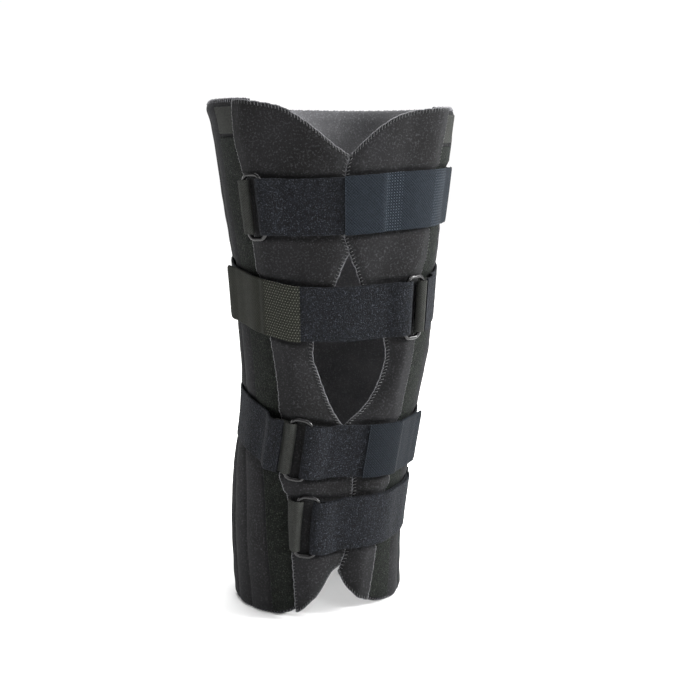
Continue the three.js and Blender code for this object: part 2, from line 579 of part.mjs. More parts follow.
// Webbing round the outer bar: it ends under the strap, or on the wing at its edge
function keeperPath(strap) {
  const at = ringPlaces(strap), radius = BAR / 2 + RING_GAP + KEEPER / 2, path = [];
  const place = (t, d, lean = 0) => path.push({ deg: strap.ring + at.out * t, d, lean });
  const base = (t) => under(strap, strap.ring + at.out * t) + GAP + KEEPER / 2;
  if (strap.hugs) {
    place(at.reach + 0.4, at.level - radius);
  } else {
    for (const share of [1, 0.82, 0.68, 0.55]) place(share * KEEPER_TAIL, base(share * KEEPER_TAIL));
    place(at.reach + 0.4, at.level - radius);
  }
  for (let i = 1; i <= 7; i += 1) {
    const a = (-90 - 180 * i / 8) * DEG;
    place(at.reach + radius * Math.cos(a), at.level + radius * Math.sin(a));
  }
  if (strap.hugs) {
    const wing = strap.side < 0 ? WINGS.left : WINGS.right, half = STRAP_WIDTH / 2;
    const edge = Math.abs(degAt(wing.outer, at.z) - strap.ring) / Math.abs(at.out);
    const corner = Math.max(edge - 0.8, at.reach + radius);
    const slant = (degAt(wing.outer, at.z + half) - degAt(wing.outer, at.z - half)) / STRAP_WIDTH;
    const most = (corner - at.reach - radius + 0.2) / half / at.scale;
    const lean = Math.max(-most, Math.min(most, slant));
    place(at.reach, at.level + radius);
    place(at.reach + radius * 0.7, at.level + radius * 0.7, lean * 0.3);
    place(corner - 0.3, at.level - 0.8, lean * 0.8);
    place(corner, OVER - SINK + FOAM - THIN - DENT + 2.1, lean);
  } else {
    place(at.reach, at.level + radius);
    place(at.reach + 2, mix(at.level + radius, base(at.reach + 2) + KEEPER + GAP, 0.3));
    place(at.reach + 4, mix(at.level + radius, base(at.reach + 4) + KEEPER + GAP, 0.8));
    for (const share of [0.68, 0.82, 1]) {
      place(share * KEEPER_TAIL, base(share * KEEPER_TAIL) + KEEPER + GAP);
    }
  }
  return path;
}

// Rings: a round bar bent to a rounded rectangle, lying flat against the wing
function ring(strap) {
  const at = ringPlaces(strap);
  const bow = at.reach * at.reach / (2 * at.scale / DEG);
  const { up, along } = strap.frame, half = STRAP_WIDTH / 2 * up.z;
  const centre = point(strap.ring, at.z - half, at.level - bow);
  centre.add(point(strap.ring, at.z + half, at.level - bow)).multiplyScalar(0.5);
  const out = along.clone().cross(up).normalize();
  const tall = STRAP_WIDTH / 2 + 1.1 + BAR / 2, wide = (RING_WIDTH - BAR) / 2, sections = [];
  const corners = [[1, 1], [-1, 1], [-1, -1], [1, -1]];
  corners.forEach(([x, y], n) => {
    for (let i = 0; i <= 3; i += 1) {
      const a = (n * 90 + i * 30) * DEG;
      const u = x * (wide - RING_CORNER) + RING_CORNER * Math.cos(a);
      const v = y * (tall - RING_CORNER) + RING_CORNER * Math.sin(a);
      const heart = centre.clone().addScaledVector(along, u).addScaledVector(up, v);
      const away = along.clone().multiplyScalar(Math.cos(a)).addScaledVector(up, Math.sin(a));
      sections.push([0, 1, 2, 3, 4, 5, 6].map((k) => {
        const b = k * 360 / 7 * DEG;
        return heart.clone().addScaledVector(away, BAR / 2 * Math.cos(b)).addScaledVector(out, BAR / 2 * Math.sin(b));
      }));
    }
  });
  return loft(`ring_${strap.name}`, COLOURS.plastic, sections, true, 0.25);
}

for (const strap of STRAPS) {
  group.add(ribbon(`strap_${strap.name}`, COLOURS.loop, strap, strapPath(strap), STRAP, STRAP_WIDTH));
  group.add(ribbon(`hook_tab_${strap.name}`, COLOURS.hook, strap, tabPath(strap), TAB, STRAP_WIDTH + 1.2));
  group.add(ribbon(`keeper_${strap.name}`, COLOURS.smooth, strap, keeperPath(strap), KEEPER, STRAP_WIDTH - 1.5));
  group.add(ring(strap));
}

// Centre the whole over the origin, with the hem on the ground
const box = new THREE.Box3().setFromObject(group);
const middle = box.getCenter(new THREE.Vector3());
group.children.forEach((mesh) => mesh.geometry.translate(-middle.x, -middle.y, -box.min.z));

export default group;
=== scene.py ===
# %% [markdown]
# # A knee immobilizer, fastened
# The real thing is cut from foam with a brushed cloth on its face. A panel goes round the back
# of the leg, two wings meet in front and leave a window for the kneecap, and four straps of
# loop webbing run through plastic rings and back on themselves, where hook tabs hold them.
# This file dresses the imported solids. It repeats the leg form that they were drawn on, so a
# fine mesh can be made in the place of each plain solid.

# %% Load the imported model
import math
import bpy
import numpy as np
from mathutils import Matrix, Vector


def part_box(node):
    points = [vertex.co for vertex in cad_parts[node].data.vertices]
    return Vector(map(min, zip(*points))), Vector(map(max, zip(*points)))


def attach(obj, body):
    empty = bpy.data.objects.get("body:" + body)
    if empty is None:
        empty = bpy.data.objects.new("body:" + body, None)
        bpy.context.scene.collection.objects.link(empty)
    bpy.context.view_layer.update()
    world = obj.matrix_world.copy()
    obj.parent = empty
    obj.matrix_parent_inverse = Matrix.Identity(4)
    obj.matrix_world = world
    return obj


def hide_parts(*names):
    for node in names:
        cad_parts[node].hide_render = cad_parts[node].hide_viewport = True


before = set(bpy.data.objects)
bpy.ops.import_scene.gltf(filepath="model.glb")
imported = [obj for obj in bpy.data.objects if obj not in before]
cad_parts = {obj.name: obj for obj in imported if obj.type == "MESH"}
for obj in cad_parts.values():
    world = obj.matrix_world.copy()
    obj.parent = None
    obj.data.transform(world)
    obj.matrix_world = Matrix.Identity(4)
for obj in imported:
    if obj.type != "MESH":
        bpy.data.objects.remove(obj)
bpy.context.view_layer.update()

# %% [markdown]
# ## Sizes
# All sizes are in millimetres, as a pattern maker would write them, and turn to metres only
# where a mesh is made. The tables hold shares of the named sizes: one row is one height on
# the leg, or one angle round it, with 0 degrees in front and positive angles towards +X.

# %% Sizes in mm
MM = 0.001
HEIGHT, LEG_WIDTH, LEG_DEPTH = 366.0, 163.0, 162.0
FOAM, RIB, RIB_PITCH, RIM_FLARE = 6.0, 1.1, 20.5, 2.5
DENT, SINK, WING_LIFT = 1.8, 1.5, 2.5
STRIP, LAP, THIN = 1.6, 9.0, 2.2
STRAP_WIDTH, STRAP = 38.1, 1.8
TAB, TAB_LAP = 1.6, 24.0
KEEPER, KEEPER_TAIL = 1.6, 22.0
BAR, RING_WIDTH, RING_CORNER = 3.0, 17.0, 4.5
GAP, RING_GAP = 0.3, 0.7
OVER = FOAM + STRIP + 3 * GAP
TILT_SPAN = 19.0                       # above and below a ring, where its tilt is read
STRAIGHT, TURNING = 13.0, 14.0         # a strap is straight that far beside its ring, then turns
PRESS_FADE, PRESS_CROWN, PRESS_FIRM = 4.0, 12.0, 0.85   # how pressure grows from a strap's edges
BARE_FROM, BARE_FADE = 14, 16          # degrees beside the ring and the start of a short strap
BED_REACH, BED_STEP, FINE_STEP = 7.0, 6, 0.5            # mm, degrees, degrees
WING_SLACK, SLACK = 0.35, 0.1          # room under a strap, over a wing and over the back panel
ROUND_EDGE, THREAD_REACH = 2.2, 3.0    # where a padded edge rounds off and its thread draws it in
RING_EASE, BACK_EASE = 12.0, 15.0      # length in which a strap rises to its ring, and settles
TAIL_EASE, TAB_EASE, TAB_RISE = 9.0, 6.0, 14.0   # past a keeper, off a strap's end, to a lift
MIDDLE = np.array([2.392, -0.894, 0.0])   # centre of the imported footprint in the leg's own frame

# height, half width, sideways shift, half depth, backward shift
LEG = [
    (0.000, 0.345, -0.101, 0.321, 0.056), (0.123, 0.354, -0.100, 0.346, 0.062),
    (0.260, 0.365, -0.069, 0.364, 0.062), (0.396, 0.367, -0.022, 0.377, 0.043),
    (0.533, 0.393, 0.009, 0.383, 0.019), (0.683, 0.414, 0.015, 0.414, 0.000),
    (0.833, 0.457, 0.019, 0.457, 0.000), (1.000, 0.504, 0.023, 0.500, 0.000),
]

# height, angle: edges of the wings, and the lines where the ribs begin
LEFT_OUTER = [
    (0.000, -22.4), (0.137, -23.7), (0.246, -29.3), (0.300, -36.0), (0.400, -39.8),
    (0.505, -44.1), (0.580, -47.6), (0.675, -53.4), (0.860, -54.7), (0.934, -57.7), (1.000, -56.5),
]
RIGHT_OUTER = [
    (0.000, 22.0), (0.098, 28.0), (0.134, 29.8), (0.246, 33.8), (0.430, 35.2), (0.551, 37.7),
    (0.672, 39.1), (0.705, 42.6), (0.880, 45.2), (0.945, 48.0), (1.000, 50.5),
]
LEFT_INNER = [
    (0.087, 4.2), (0.109, 6.6), (0.134, 9.4), (0.240, 10.4), (0.270, 9.8), (0.300, 8.0),
    (0.340, 3.0), (0.385, -1.8), (0.398, -5.2), (0.430, -11.6), (0.455, -15.4), (0.490, -19.8),
    (0.524, -23.1), (0.548, -22.7), (0.660, -10.6), (0.680, -8.2), (0.700, -5.8), (0.719, -3.2),
    (0.748, -5.7), (0.860, -5.1), (0.895, -2.95),
]
RIGHT_INNER = [
    (0.087, 4.7), (0.109, 7.1), (0.134, 9.9), (0.240, 10.9), (0.270, 10.3), (0.300, 8.5),
    (0.340, 3.6), (0.385, -0.8), (0.392, 0.5), (0.410, 6.8), (0.429, 11.9), (0.452, 15.8),
    (0.486, 19.2), (0.517, 20.5), (0.543, 19.2), (0.658, 3.5), (0.691, 0.3), (0.705, -1.6),
    (0.719, -2.7), (0.748, -5.2), (0.860, -4.6), (0.895, -2.45),
]
LEFT_RIBS = [
    (0.000, -41.0), (0.149, -43.6), (0.262, -48.3), (0.417, -63.5), (0.548, -68.0),
    (0.749, -75.0), (1.000, -76.0),
]
RIGHT_RIBS = [
    (0.000, 47.0), (0.137, 50.0), (0.260, 54.0), (0.546, 58.0), (0.750, 62.0), (1.000, 70.0),
]

# angle, height: rims and hems
LEFT_TOP = [
    (-60.0, 1.000), (-54.6, 1.000), (-40.5, 0.991), (-33.3, 0.983), (-24.4, 0.962),
    (-15.8, 0.934), (-9.3, 0.911), (-2.7, 0.893),
]
RIGHT_TOP = [
    (-2.7, 0.893), (4.4, 0.920), (11.4, 0.943), (21.3, 0.964), (32.9, 0.974), (55.0, 0.981),
]
LEFT_HEM = [
    (-26.0, 0.013), (-22.0, 0.015), (-19.5, 0.018), (-15.3, 0.031), (-10.3, 0.046), (-5.5, 0.066),
    (-2.5, 0.082), (1.7, 0.097), (5.0, 0.103),
]
RIGHT_HEM = [
    (4.5, 0.094), (5.7, 0.086), (10.8, 0.056), (17.3, 0.035), (22.0, 0.028), (28.0, 0.023),
]
BACK_TOP = [
    (-180, 1.004), (-94, 1.010), (-63, 1.006), (-45, 1.000), (30, 0.979), (60, 0.984),
    (74, 0.987), (110, 0.993), (180, 1.004),
]
BACK_HEM = [
    (-180, 0.000), (-40, 0.000), (-30, 0.006), (-22, 0.019), (-13, 0.042), (12, 0.058),
    (22, 0.031), (28, 0.018), (36, 0.009), (46, 0.004), (58, 0.000), (180, 0.000),
]
FLARE = [(-180, 0.0), (-150, 0.0), (-110, 1.0), (-85, 1.0), (-62, 0.0), (180, 0.0)]

# side is +1 where the ring is on the +X side; ring, start, tab and end are angles round the leg
STRAPS = [
    dict(side=-1, ring=-47.0, start=235, tab=-5.5, end=68, lift=0.2, hugs=True, path=[
        (-180, 0.828), (-90, 0.817), (-60, 0.809), (-44, 0.805), (-25, 0.803), (-5, 0.804),
        (22, 0.810), (45, 0.814), (90, 0.822), (180, 0.828)]),
    dict(side=1, ring=31.2, start=13.0, tab=-27.2, end=-84, lift=3.0, hugs=False, path=[
        (-180, 0.684), (-135, 0.674), (-90, 0.645), (-63, 0.630), (-43, 0.618), (-28, 0.607),
        (-5, 0.604), (13, 0.607), (36, 0.611), (66, 0.621), (90, 0.634), (135, 0.670),
        (180, 0.684)]),
    dict(side=-1, ring=-24.9, start=13.0, tab=12.2, end=66, lift=2.0, hugs=False, path=[
        (-180, 0.410), (-135, 0.407), (-90, 0.391), (-74, 0.385), (-50, 0.364), (-40, 0.352),
        (-27, 0.347), (-8, 0.341), (12, 0.337), (33, 0.335), (50, 0.334), (90, 0.341),
        (135, 0.385), (180, 0.410)]),
    dict(side=-1, ring=-15.6, start=235, tab=92, end=142, lift=0.5, hugs=True, path=[
        (-180, 0.206), (-90, 0.201), (-25, 0.195), (-10, 0.194), (25, 0.194), (50, 0.194),
        (90, 0.192), (180, 0.206)]),
]
print("straps:", len(STRAPS), " heights on the leg:", len(LEG))

# %% [markdown]
# ## The leg form
# A point is named by its angle round the leg, its height and how far it stands off the leg.
# Each height is an ellipse, and one smooth curve joins the rows of a table without swinging
# past them, so a fine mesh and the plain solid follow the same surface.

# %% Points on the leg form
def smooth(t):
    c = np.clip(t, 0.0, 1.0)
    return c * c * (3 - 2 * c)


def mix(a, b, t):
    return a + (b - a) * t


def curve(rows, x, column=1):
    rows = np.asarray(rows, float)
    at, value = rows[:, 0], rows[:, column]
    step = np.diff(at)
    slope = np.diff(value) / step
    product = slope[:-1] * slope[1:]
    total = np.where(slope[:-1] + slope[1:] == 0, 1.0, slope[:-1] + slope[1:])
    middle = np.where(product > 0, 2 * product / total, 0.0)
    lean = np.concatenate([slope[:1], middle, slope[-1:]])
    x = np.clip(np.asarray(x, float), at[0], at[-1])
    i = np.clip(np.searchsorted(at, x, side="right") - 1, 0, len(at) - 2)
    t = (x - at[i]) / step[i]
    u = 1 - t
    return (value[i] * (1 + 2 * t) * u * u + value[i + 1] * (3 - 2 * t) * t * t
            + step[i] * t * u * (u * lean[i] - t * lean[i + 1]))


def point(deg, z, d):
    at, turn = np.asarray(z, float) / HEIGHT, np.radians(deg)
    wide = curve(LEG, at, 1) * LEG_WIDTH + d
    side = curve(LEG, at, 2) * LEG_WIDTH
    deep = curve(LEG, at, 3) * LEG_DEPTH + d
    back = curve(LEG, at, 4) * LEG_DEPTH
    x, y = side + wide * np.sin(turn), back - deep * np.cos(turn)
    return np.stack(np.broadcast_arrays(x, y, np.asarray(z, float)), axis=-1)


def mm_per_degree(deg, z, d):
    return np.linalg.norm(point(deg + 0.5, z, d) - point(deg - 0.5, z, d), axis=-1)


def wrapped(deg):
    return deg - 360 * np.round(deg / 360)


def crowded(count):
    """Shares from 0 to 1 that stand closer together towards both ends."""
    return 0.5 - 0.5 * np.cos(np.linspace(0, np.pi, count))


def unit(v):
    return v / np.linalg.norm(v, axis=-1, keepdims=True)


def angle_at(rows, z):
    return curve(rows, z / HEIGHT)


def height_at(rows, deg):
    return curve(rows, wrapped(deg)) * HEIGHT


print("front of the thigh at the rim:", point(0, HEIGHT, 0).round(1) - MIDDLE)

# %% Straps and wings as lines on the form
WINGS = {
    "left": dict(outer=LEFT_OUTER, inner=LEFT_INNER, top=LEFT_TOP, hem=LEFT_HEM, ribs=LEFT_RIBS),
    "right": dict(outer=RIGHT_OUTER, inner=RIGHT_INNER, top=RIGHT_TOP, hem=RIGHT_HEM,
                  ribs=RIGHT_RIBS),
}


def ring_frame(strap):
    ring = strap["ring"]
    z, d = height_at(strap["path"], ring), FOAM + OVER
    up = unit(point(ring, z + TILT_SPAN, d) - point(ring, z - TILT_SPAN, d))
    level = unit(point(ring + 1, z, d) - point(ring - 1, z, d))
    tilt = float(level @ up)
    scale = float(mm_per_degree(ring, z, d))
    return dict(z=float(z), up=up, along=unit(level - tilt * up), scale=scale,
                slope=-tilt * up[2], skew=math.hypot(1, tilt))


for strap in STRAPS:
    strap["frame"] = ring_frame(strap)


def strap_height(strap, deg):
    at = strap["frame"]
    t = wrapped(deg - strap["ring"]) * at["scale"]
    free = smooth((np.abs(t) - STRAIGHT) / TURNING)
    return mix(at["z"] + at["slope"] * t, height_at(strap["path"], deg), free)


def flared(deg, share):
    """How far the rim of the back panel turns outwards."""
    return RIM_FLARE * curve(FLARE, wrapped(deg)) * smooth((share - 0.95) / 0.05)


def goes_round(strap):
    """True where a strap starts in front and goes the whole way round the back."""
    return abs(strap["start"]) < 90


def covered(strap, deg):
    """1 where a strap lies, 0 from its start to its ring, where the panel is bare."""
    if goes_round(strap):
        return 1.0
    a = wrapped(deg)
    past_ring = smooth((strap["ring"] - BARE_FROM - a) / BARE_FADE)
    return 1 - past_ring * smooth((a - strap["start"] + 360) / BARE_FADE)


def pressed_by(deg, z):
    """Share of a strap's full pressure: 1 under its middle, 0 a few mm beside it."""
    most = 0.0
    for strap in STRAPS:
        off = np.abs(z - strap_height(strap, deg)) - STRAP_WIDTH / 2
        share = mix(smooth(-off / PRESS_CROWN), smooth(1 - off / PRESS_FADE), PRESS_FIRM)
        most = np.maximum(most, share * covered(strap, deg))
    return most


def wing_lift(s, width, press):
    """Inside of a wing above the leg, s mm in from its outer edge, where it laps the strip."""
    ramp = np.clip(width - LAP - 1, 6, 26)
    return mix(OVER - SINK * press, WING_LIFT, smooth((s - LAP - 1) / ramp))


def thinned(s):
    """How much thinner the overlock holds the foam, s mm in from a wing's outer edge."""
    return THIN * (1 - np.clip(s / (LAP + 1), 0, 1))


def top_of(deg, z):
    """Outside of whatever lies under the straps."""
    a = wrapped(deg)
    outer, inner, ribs = (
        np.where(a < 0, angle_at(WINGS["left"][part], z), angle_at(WINGS["right"][part], z))
        for part in ("outer", "inner", "ribs"))
    ribs = np.abs(ribs)
    scale = mm_per_degree(outer, z, OVER)
    width = np.abs(outer - inner) * scale
    press, s = pressed_by(a, z), np.abs(outer - a) * scale
    wing = wing_lift(s, width, press) + FOAM - thinned(s) - DENT * press + WING_SLACK
    ribbed = np.abs(a) < ribs + 3 * RIB_PITCH / scale
    body = FOAM + np.where(ribbed, RIB, 0) * (1 - press) - SINK * press + SLACK
    found = np.where(np.abs(a) <= ribs, FOAM + GAP + STRIP - SINK * press + SLACK, body)
    return np.where(np.abs(a) <= np.abs(outer), wing, found)


def strap_bed(strap):
    """Level under a strap at every few degrees, eased over a few mm either way."""
    deg = np.arange(0, 360, BED_STEP)[:, None, None]
    z = strap_height(strap, deg)
    scale = mm_per_degree(deg, z, OVER)
    near = deg + np.arange(-10, 11)[None, :, None] * BED_REACH / 5 / scale
    across = z + np.array([-0.5, 0, 0.5])[None, None, :] * STRAP_WIDTH
    highest = top_of(near, across).max(axis=2)
    eased = [highest[:, i:i + 11].max(axis=1) for i in range(11)]
    return np.mean(eased, axis=0)


ALL_ROUND = np.arange(-360, 720, FINE_STEP)
for strap in STRAPS:
    bed = strap_bed(strap)
    fine = np.interp(ALL_ROUND, np.arange(-360, 720, BED_STEP), np.tile(bed, 3))
    blur = np.exp(-0.5 * (np.arange(-12, 13) / 4) ** 2)
    strap["bed"] = bed
    strap["soft_bed"] = np.convolve(fine, blur / blur.sum(), mode="same")


def under(strap, deg, soft=True):
    """Level under a strap, as the solids have it or blurred for a fine mesh."""
    if soft:
        return np.interp(np.mod(deg, 360), ALL_ROUND, strap["soft_bed"])
    return np.interp(deg, np.arange(0, 360, BED_STEP), strap["bed"], period=360)


for number, strap in enumerate(STRAPS, 1):
    print("strap", number, "height in front",
          round(float(strap_height(strap, 0)), 1), "bed", strap["bed"].min().round(1),
          "to", strap["bed"].max().round(1))

# %% [markdown]
# ## Turning points into pieces
# Every soft piece here is a thin closed form: a grid of points for its face, one for its back,
# and a shared edge. Webbing and threads are closed sections swept along a line. A few small
# helpers join such points with faces, so each piece below only has to say where they lie.

# %% Helpers for meshes
def linked(name, data):
    """A new object in the scene for a mesh, a light or the camera."""
    made = bpy.data.objects.new(name, data)
    bpy.context.scene.collection.objects.link(made)
    return made


def grid_faces(index):
    a, b, c, d = index[:-1, :-1], index[:-1, 1:], index[1:, 1:], index[1:, :-1]
    return np.stack([a, b, c, d], axis=-1).reshape(-1, 4)


def volume(points, faces):
    a, b, c = points[faces[:, 0]], points[faces[:, 1]], points[faces[:, 2]]
    total = np.einsum("ij,ij->", a, np.cross(b, c))
    if faces.shape[1] == 4:
        total += np.einsum("ij,ij->", a, np.cross(c, points[faces[:, 3]]))
    return total


def make_piece(name, points, faces, materials, uv=None, which=None, extra=()):
    """A mesh object from points in mm.

    uv is a place in mm for each point, and which is a material for each face.
    """
    points = np.asarray(points, float) - MIDDLE
    if volume(points, faces) < 0:
        faces = faces[:, ::-1]
        extra = [face[::-1] for face in extra]
    mesh = bpy.data.meshes.new(name)
    mesh.from_pydata((points * MM).tolist(), [], faces.tolist() + [list(face) for face in extra])
    mesh.polygons.foreach_set("use_smooth", [True] * len(mesh.polygons))
    if uv is not None:
        layer = mesh.uv_layers.new(name="mm")
        corner = np.zeros(len(mesh.loops), int)
        mesh.loops.foreach_get("vertex_index", corner)
        layer.data.foreach_set("uv", np.asarray(uv, float)[corner].ravel())
    for material in materials:
        mesh.materials.append(material)
    if which is not None:
        mesh.polygons.foreach_set("material_index", list(which) + [0] * len(extra))
    mesh.update()
    return linked(name, mesh)


def closed_sheet(name, face, back, materials, uv):
    """A padded sheet: face and back are grids of points that share their outermost row."""
    rows, columns = face.shape[:2]
    front_index = np.arange(rows * columns).reshape(rows, columns)
    back_index = front_index.copy()
    inside = (rows - 2) * (columns - 2)
    back_index[1:-1, 1:-1] = rows * columns + np.arange(inside).reshape(rows - 2, columns - 2)
    points = np.concatenate([face.reshape(-1, 3), back[1:-1, 1:-1].reshape(-1, 3)])
    uv = np.concatenate([uv.reshape(-1, 2), uv[1:-1, 1:-1].reshape(-1, 2)])
    front_faces, back_faces = grid_faces(front_index), grid_faces(back_index)[:, ::-1]
    which = np.repeat([0, min(1, len(materials) - 1)], [len(front_faces), len(back_faces)])
    return make_piece(name, points, np.concatenate([front_faces, back_faces]), materials, uv, which)


def swept(name, sections, material, uv, closed=False):
    """A closed form from sections of points, one after another; open ends are capped."""
    count, around = sections.shape[:2]
    index = np.arange(count * around).reshape(count, around)
    index = np.concatenate([index, index[:, :1]], axis=1)
    if closed:
        index = np.concatenate([index, index[:1]])
    first, last = list(range(around)), list(range((count - 1) * around, count * around))
    caps = [] if closed else [first, last[::-1]]
    return make_piece(name, sections.reshape(-1, 3), grid_faces(index), [material],
                      uv.reshape(-1, 2), extra=caps)


def threads(name, runs, radius, material, sides=5):
    """Many threads in one mesh. A run is (points, the direction that faces outwards)."""
    points, faces, caps, first = [], [], [], 0
    turn = np.arange(sides) * 2 * np.pi / sides
    for line, outward in runs:
        along = unit(np.gradient(line, axis=0))
        side = unit(np.cross(along, outward))
        over = np.cross(side, along)
        ring = (line[:, None, :] + radius * (np.cos(turn)[None, :, None] * side[:, None, :]
                                             + np.sin(turn)[None, :, None] * over[:, None, :]))
        index = first + np.arange(len(line) * sides).reshape(len(line), sides)
        faces.append(grid_faces(np.concatenate([index, index[:, :1]], axis=1)))
        caps += [list(index[0][::-1]), list(index[-1])]
        points.append(ring.reshape(-1, 3))
        first += len(line) * sides
    return make_piece(name, np.concatenate(points), np.concatenate(faces), [material], extra=caps)


def length_along(line):
    return np.concatenate([[0], np.cumsum(np.linalg.norm(np.diff(line, axis=0), axis=1))])


def through(points, count):
    """A smooth line of count points that passes through a few chosen ones."""
    points = np.asarray(points, float)
    ends = np.concatenate([[2 * points[0] - points[1]], points, [2 * points[-1] - points[-2]]])
    length = length_along(points)
    at = np.interp(np.linspace(0, length[-1], count), length, np.arange(len(points)))
    i = np.minimum(at.astype(int), len(points) - 2)
    t = (at - i)[:, None]
    a, b, c, d = ends[i], ends[i + 1], ends[i + 2], ends[i + 3]
    return 0.5 * (2 * b + (c - a) * t + (2 * a - 5 * b + 4 * c - d) * t * t
                  + (3 * b - a - 3 * c + d) * t ** 3)


def ripple(x, y, size, seed):
    """Gentle random relief from -1 to 1: a few waves about that many mm long, always the same."""
    rng = np.random.default_rng(seed)
    total = 0.0
    for turn, phase, share in rng.uniform([0, 0, 0.7], [np.pi, 2 * np.pi, 1.5], (7, 3)):
        across = x * np.cos(turn) + y * np.sin(turn)
        total = total + np.sin(2 * np.pi * across / size / share + phase)
    return total / 7 * 1.6


print("helpers ready")

# %% [markdown]
# ## Materials
# The whole product is black, so the finishes have to part by sheen and by grain: brushed
# cloth is the lightest, loop pile is the darkest, woven webbing is smooth and a little
# greenish or bluish, and only the rings are glossy. Colours are sRGB hex values. Grains are
# drawn from real sizes, and those under half a millimetre are drawn coarser, because at this
# picture size a pixel is about 0.7 mm wide.

# %% Helpers for materials
def paint(code):
    """Linear colour of an sRGB hex value."""
    share = [int(code[i:i + 2], 16) / 255 for i in (1, 3, 5)]
    return (*(c / 12.92 if c <= 0.04045 else ((c + 0.055) / 1.055) ** 2.4 for c in share), 1.0)


def add(tree, kind, inputs=None, **settings):
    """A node with its settings; an input is a value, or a node or an output to link."""
    made = tree.nodes.new(kind)
    for name, value in settings.items():
        setattr(made, name, value)
    for socket, value in (inputs or {}).items():
        if isinstance(value, bpy.types.Node):
            value = next(output for output in value.outputs if output.enabled)
        if isinstance(value, bpy.types.NodeSocket):
            tree.links.new(value, made.inputs[socket])
        else:
            made.inputs[socket].default_value = value
    return made


def blank(name):
    """An empty material, its tree, and the place on the piece in metres."""
    material = bpy.data.materials.new(name)
    material.use_nodes = True
    tree = material.node_tree
    tree.nodes.clear()
    return material, tree, add(tree, "ShaderNodeTexCoord").outputs["Object"]


def flecked(tree, patches, flecks, dark, light, fleck):
    """Patches of two tones, with flecks of a third over them."""
    base = add(tree, "ShaderNodeMix", {"Factor": patches, "A": paint(dark), "B": paint(light)},
               data_type="RGBA")
    return add(tree, "ShaderNodeMix", {"Factor": flecks, "A": base, "B": paint(fleck)},
               data_type="RGBA")


def finish_with(tree, colour, settings, relief=None, strength=1.0, depth=0.0):
    """The whole surface: its colour, settings for the rest, and a relief with its depth in mm."""
    settings = {"Base Color": colour, **settings}
    if relief:
        settings["Normal"] = add(tree, "ShaderNodeBump", {
            "Height": relief, "Strength": strength, "Distance": depth * MM})
    shader = add(tree, "ShaderNodeBsdfPrincipled", settings)
    add(tree, "ShaderNodeOutputMaterial", {"Surface": shader})


# %% Brushed cloth on foam
def brushed_cloth(name, dark, light, fleck):
    """Nylon tricot brushed to a short nap: matte, with a little sheen and small flecks of nap."""
    material, tree, place = blank(name)
    nap = add(tree, "ShaderNodeTexNoise", {"Vector": place, "Scale": 1 / (1.3 * MM), "Detail": 2.0,
                                           "Roughness": 0.7})
    wide = add(tree, "ShaderNodeTexNoise", {"Vector": place, "Scale": 1 / (34 * MM), "Detail": 3.0})
    mottled = add(tree, "ShaderNodeTexNoise", {"Vector": place, "Scale": 1 / (4.5 * MM),
                                               "Detail": 2.0})
    tone = add(tree, "ShaderNodeMapRange", {"Value": wide, "From Min": 0.35, "From Max": 0.65})
    tips = add(tree, "ShaderNodeMapRange", {"Value": nap, "From Min": 0.52, "From Max": 0.78,
                                            "To Max": 0.85})
    relief = add(tree, "ShaderNodeMath", {0: nap, 1: mottled}, operation="ADD")
    finish_with(tree, flecked(tree, tone, tips, dark, light, fleck), {
        "Roughness": 0.95, "IOR": 1.5, "Specular IOR Level": 0.1, "Sheen Weight": 0.08,
        "Sheen Roughness": 0.6, "Sheen Tint": paint("#8a8c90")}, relief, 0.55, 0.35)
    return material


panel_cloth = brushed_cloth("brushed_nylon_on_foam", "#161616", "#1c1c1d", "#39393b")
lining_cloth = brushed_cloth("brushed_nylon_lining", "#4e4e50", "#5c5c5e", "#77777a")
print("cloths:", panel_cloth.name, lining_cloth.name)


# %% Loop pile
def loop_pile(name, dark, light, fleck, size):
    """Unbroken nylon loops: they trap the light, and light flecks paint the highlight of single
    loops that stand up and catch it.
    """
    material, tree, place = blank(name)
    loops = add(tree, "ShaderNodeTexVoronoi", {"Vector": place, "Scale": 1 / (size * MM)})
    clumps = add(tree, "ShaderNodeTexNoise", {"Vector": place, "Scale": 1 / (3.2 * size * MM),
                                              "Detail": 3.0, "Roughness": 0.65})
    fibre = add(tree, "ShaderNodeTexNoise", {"Vector": place, "Scale": 1 / (0.8 * size * MM),
                                             "Detail": 1.0})
    tone = add(tree, "ShaderNodeMapRange", {"Value": clumps, "From Min": 0.35, "From Max": 0.68})
    # Painted highlight: flecks of the light colour where single loops stand up and catch the light.
    tips = add(tree, "ShaderNodeMapRange", {"Value": fibre, "From Min": 0.56, "From Max": 0.76,
                                            "To Max": 0.9})
    relief = add(tree, "ShaderNodeMath", {0: clumps, 1: loops}, operation="SUBTRACT")
    finish_with(tree, flecked(tree, tone, tips, dark, light, fleck), {
        "Roughness": 0.9, "IOR": 1.53, "Specular IOR Level": 0.12, "Sheen Weight": 0.06,
        "Sheen Roughness": 0.5, "Sheen Tint": paint("#6d737c")}, relief, 0.9, 0.5)
    return material


# The third colour of each pile is its painted highlight on loops that stand up.
strap_pile = loop_pile("nylon_loop_pile", "#0a0b0d", "#14161a", "#383b41", 1.0)
side_pile = loop_pile("nylon_loop_strip", "#070807", "#111411", "#333930", 1.1)
print("piles:", strap_pile.name, side_pile.name)


# %% Woven webbing
HOOK_PITCH = 1.9                          # from one hook foot to the next


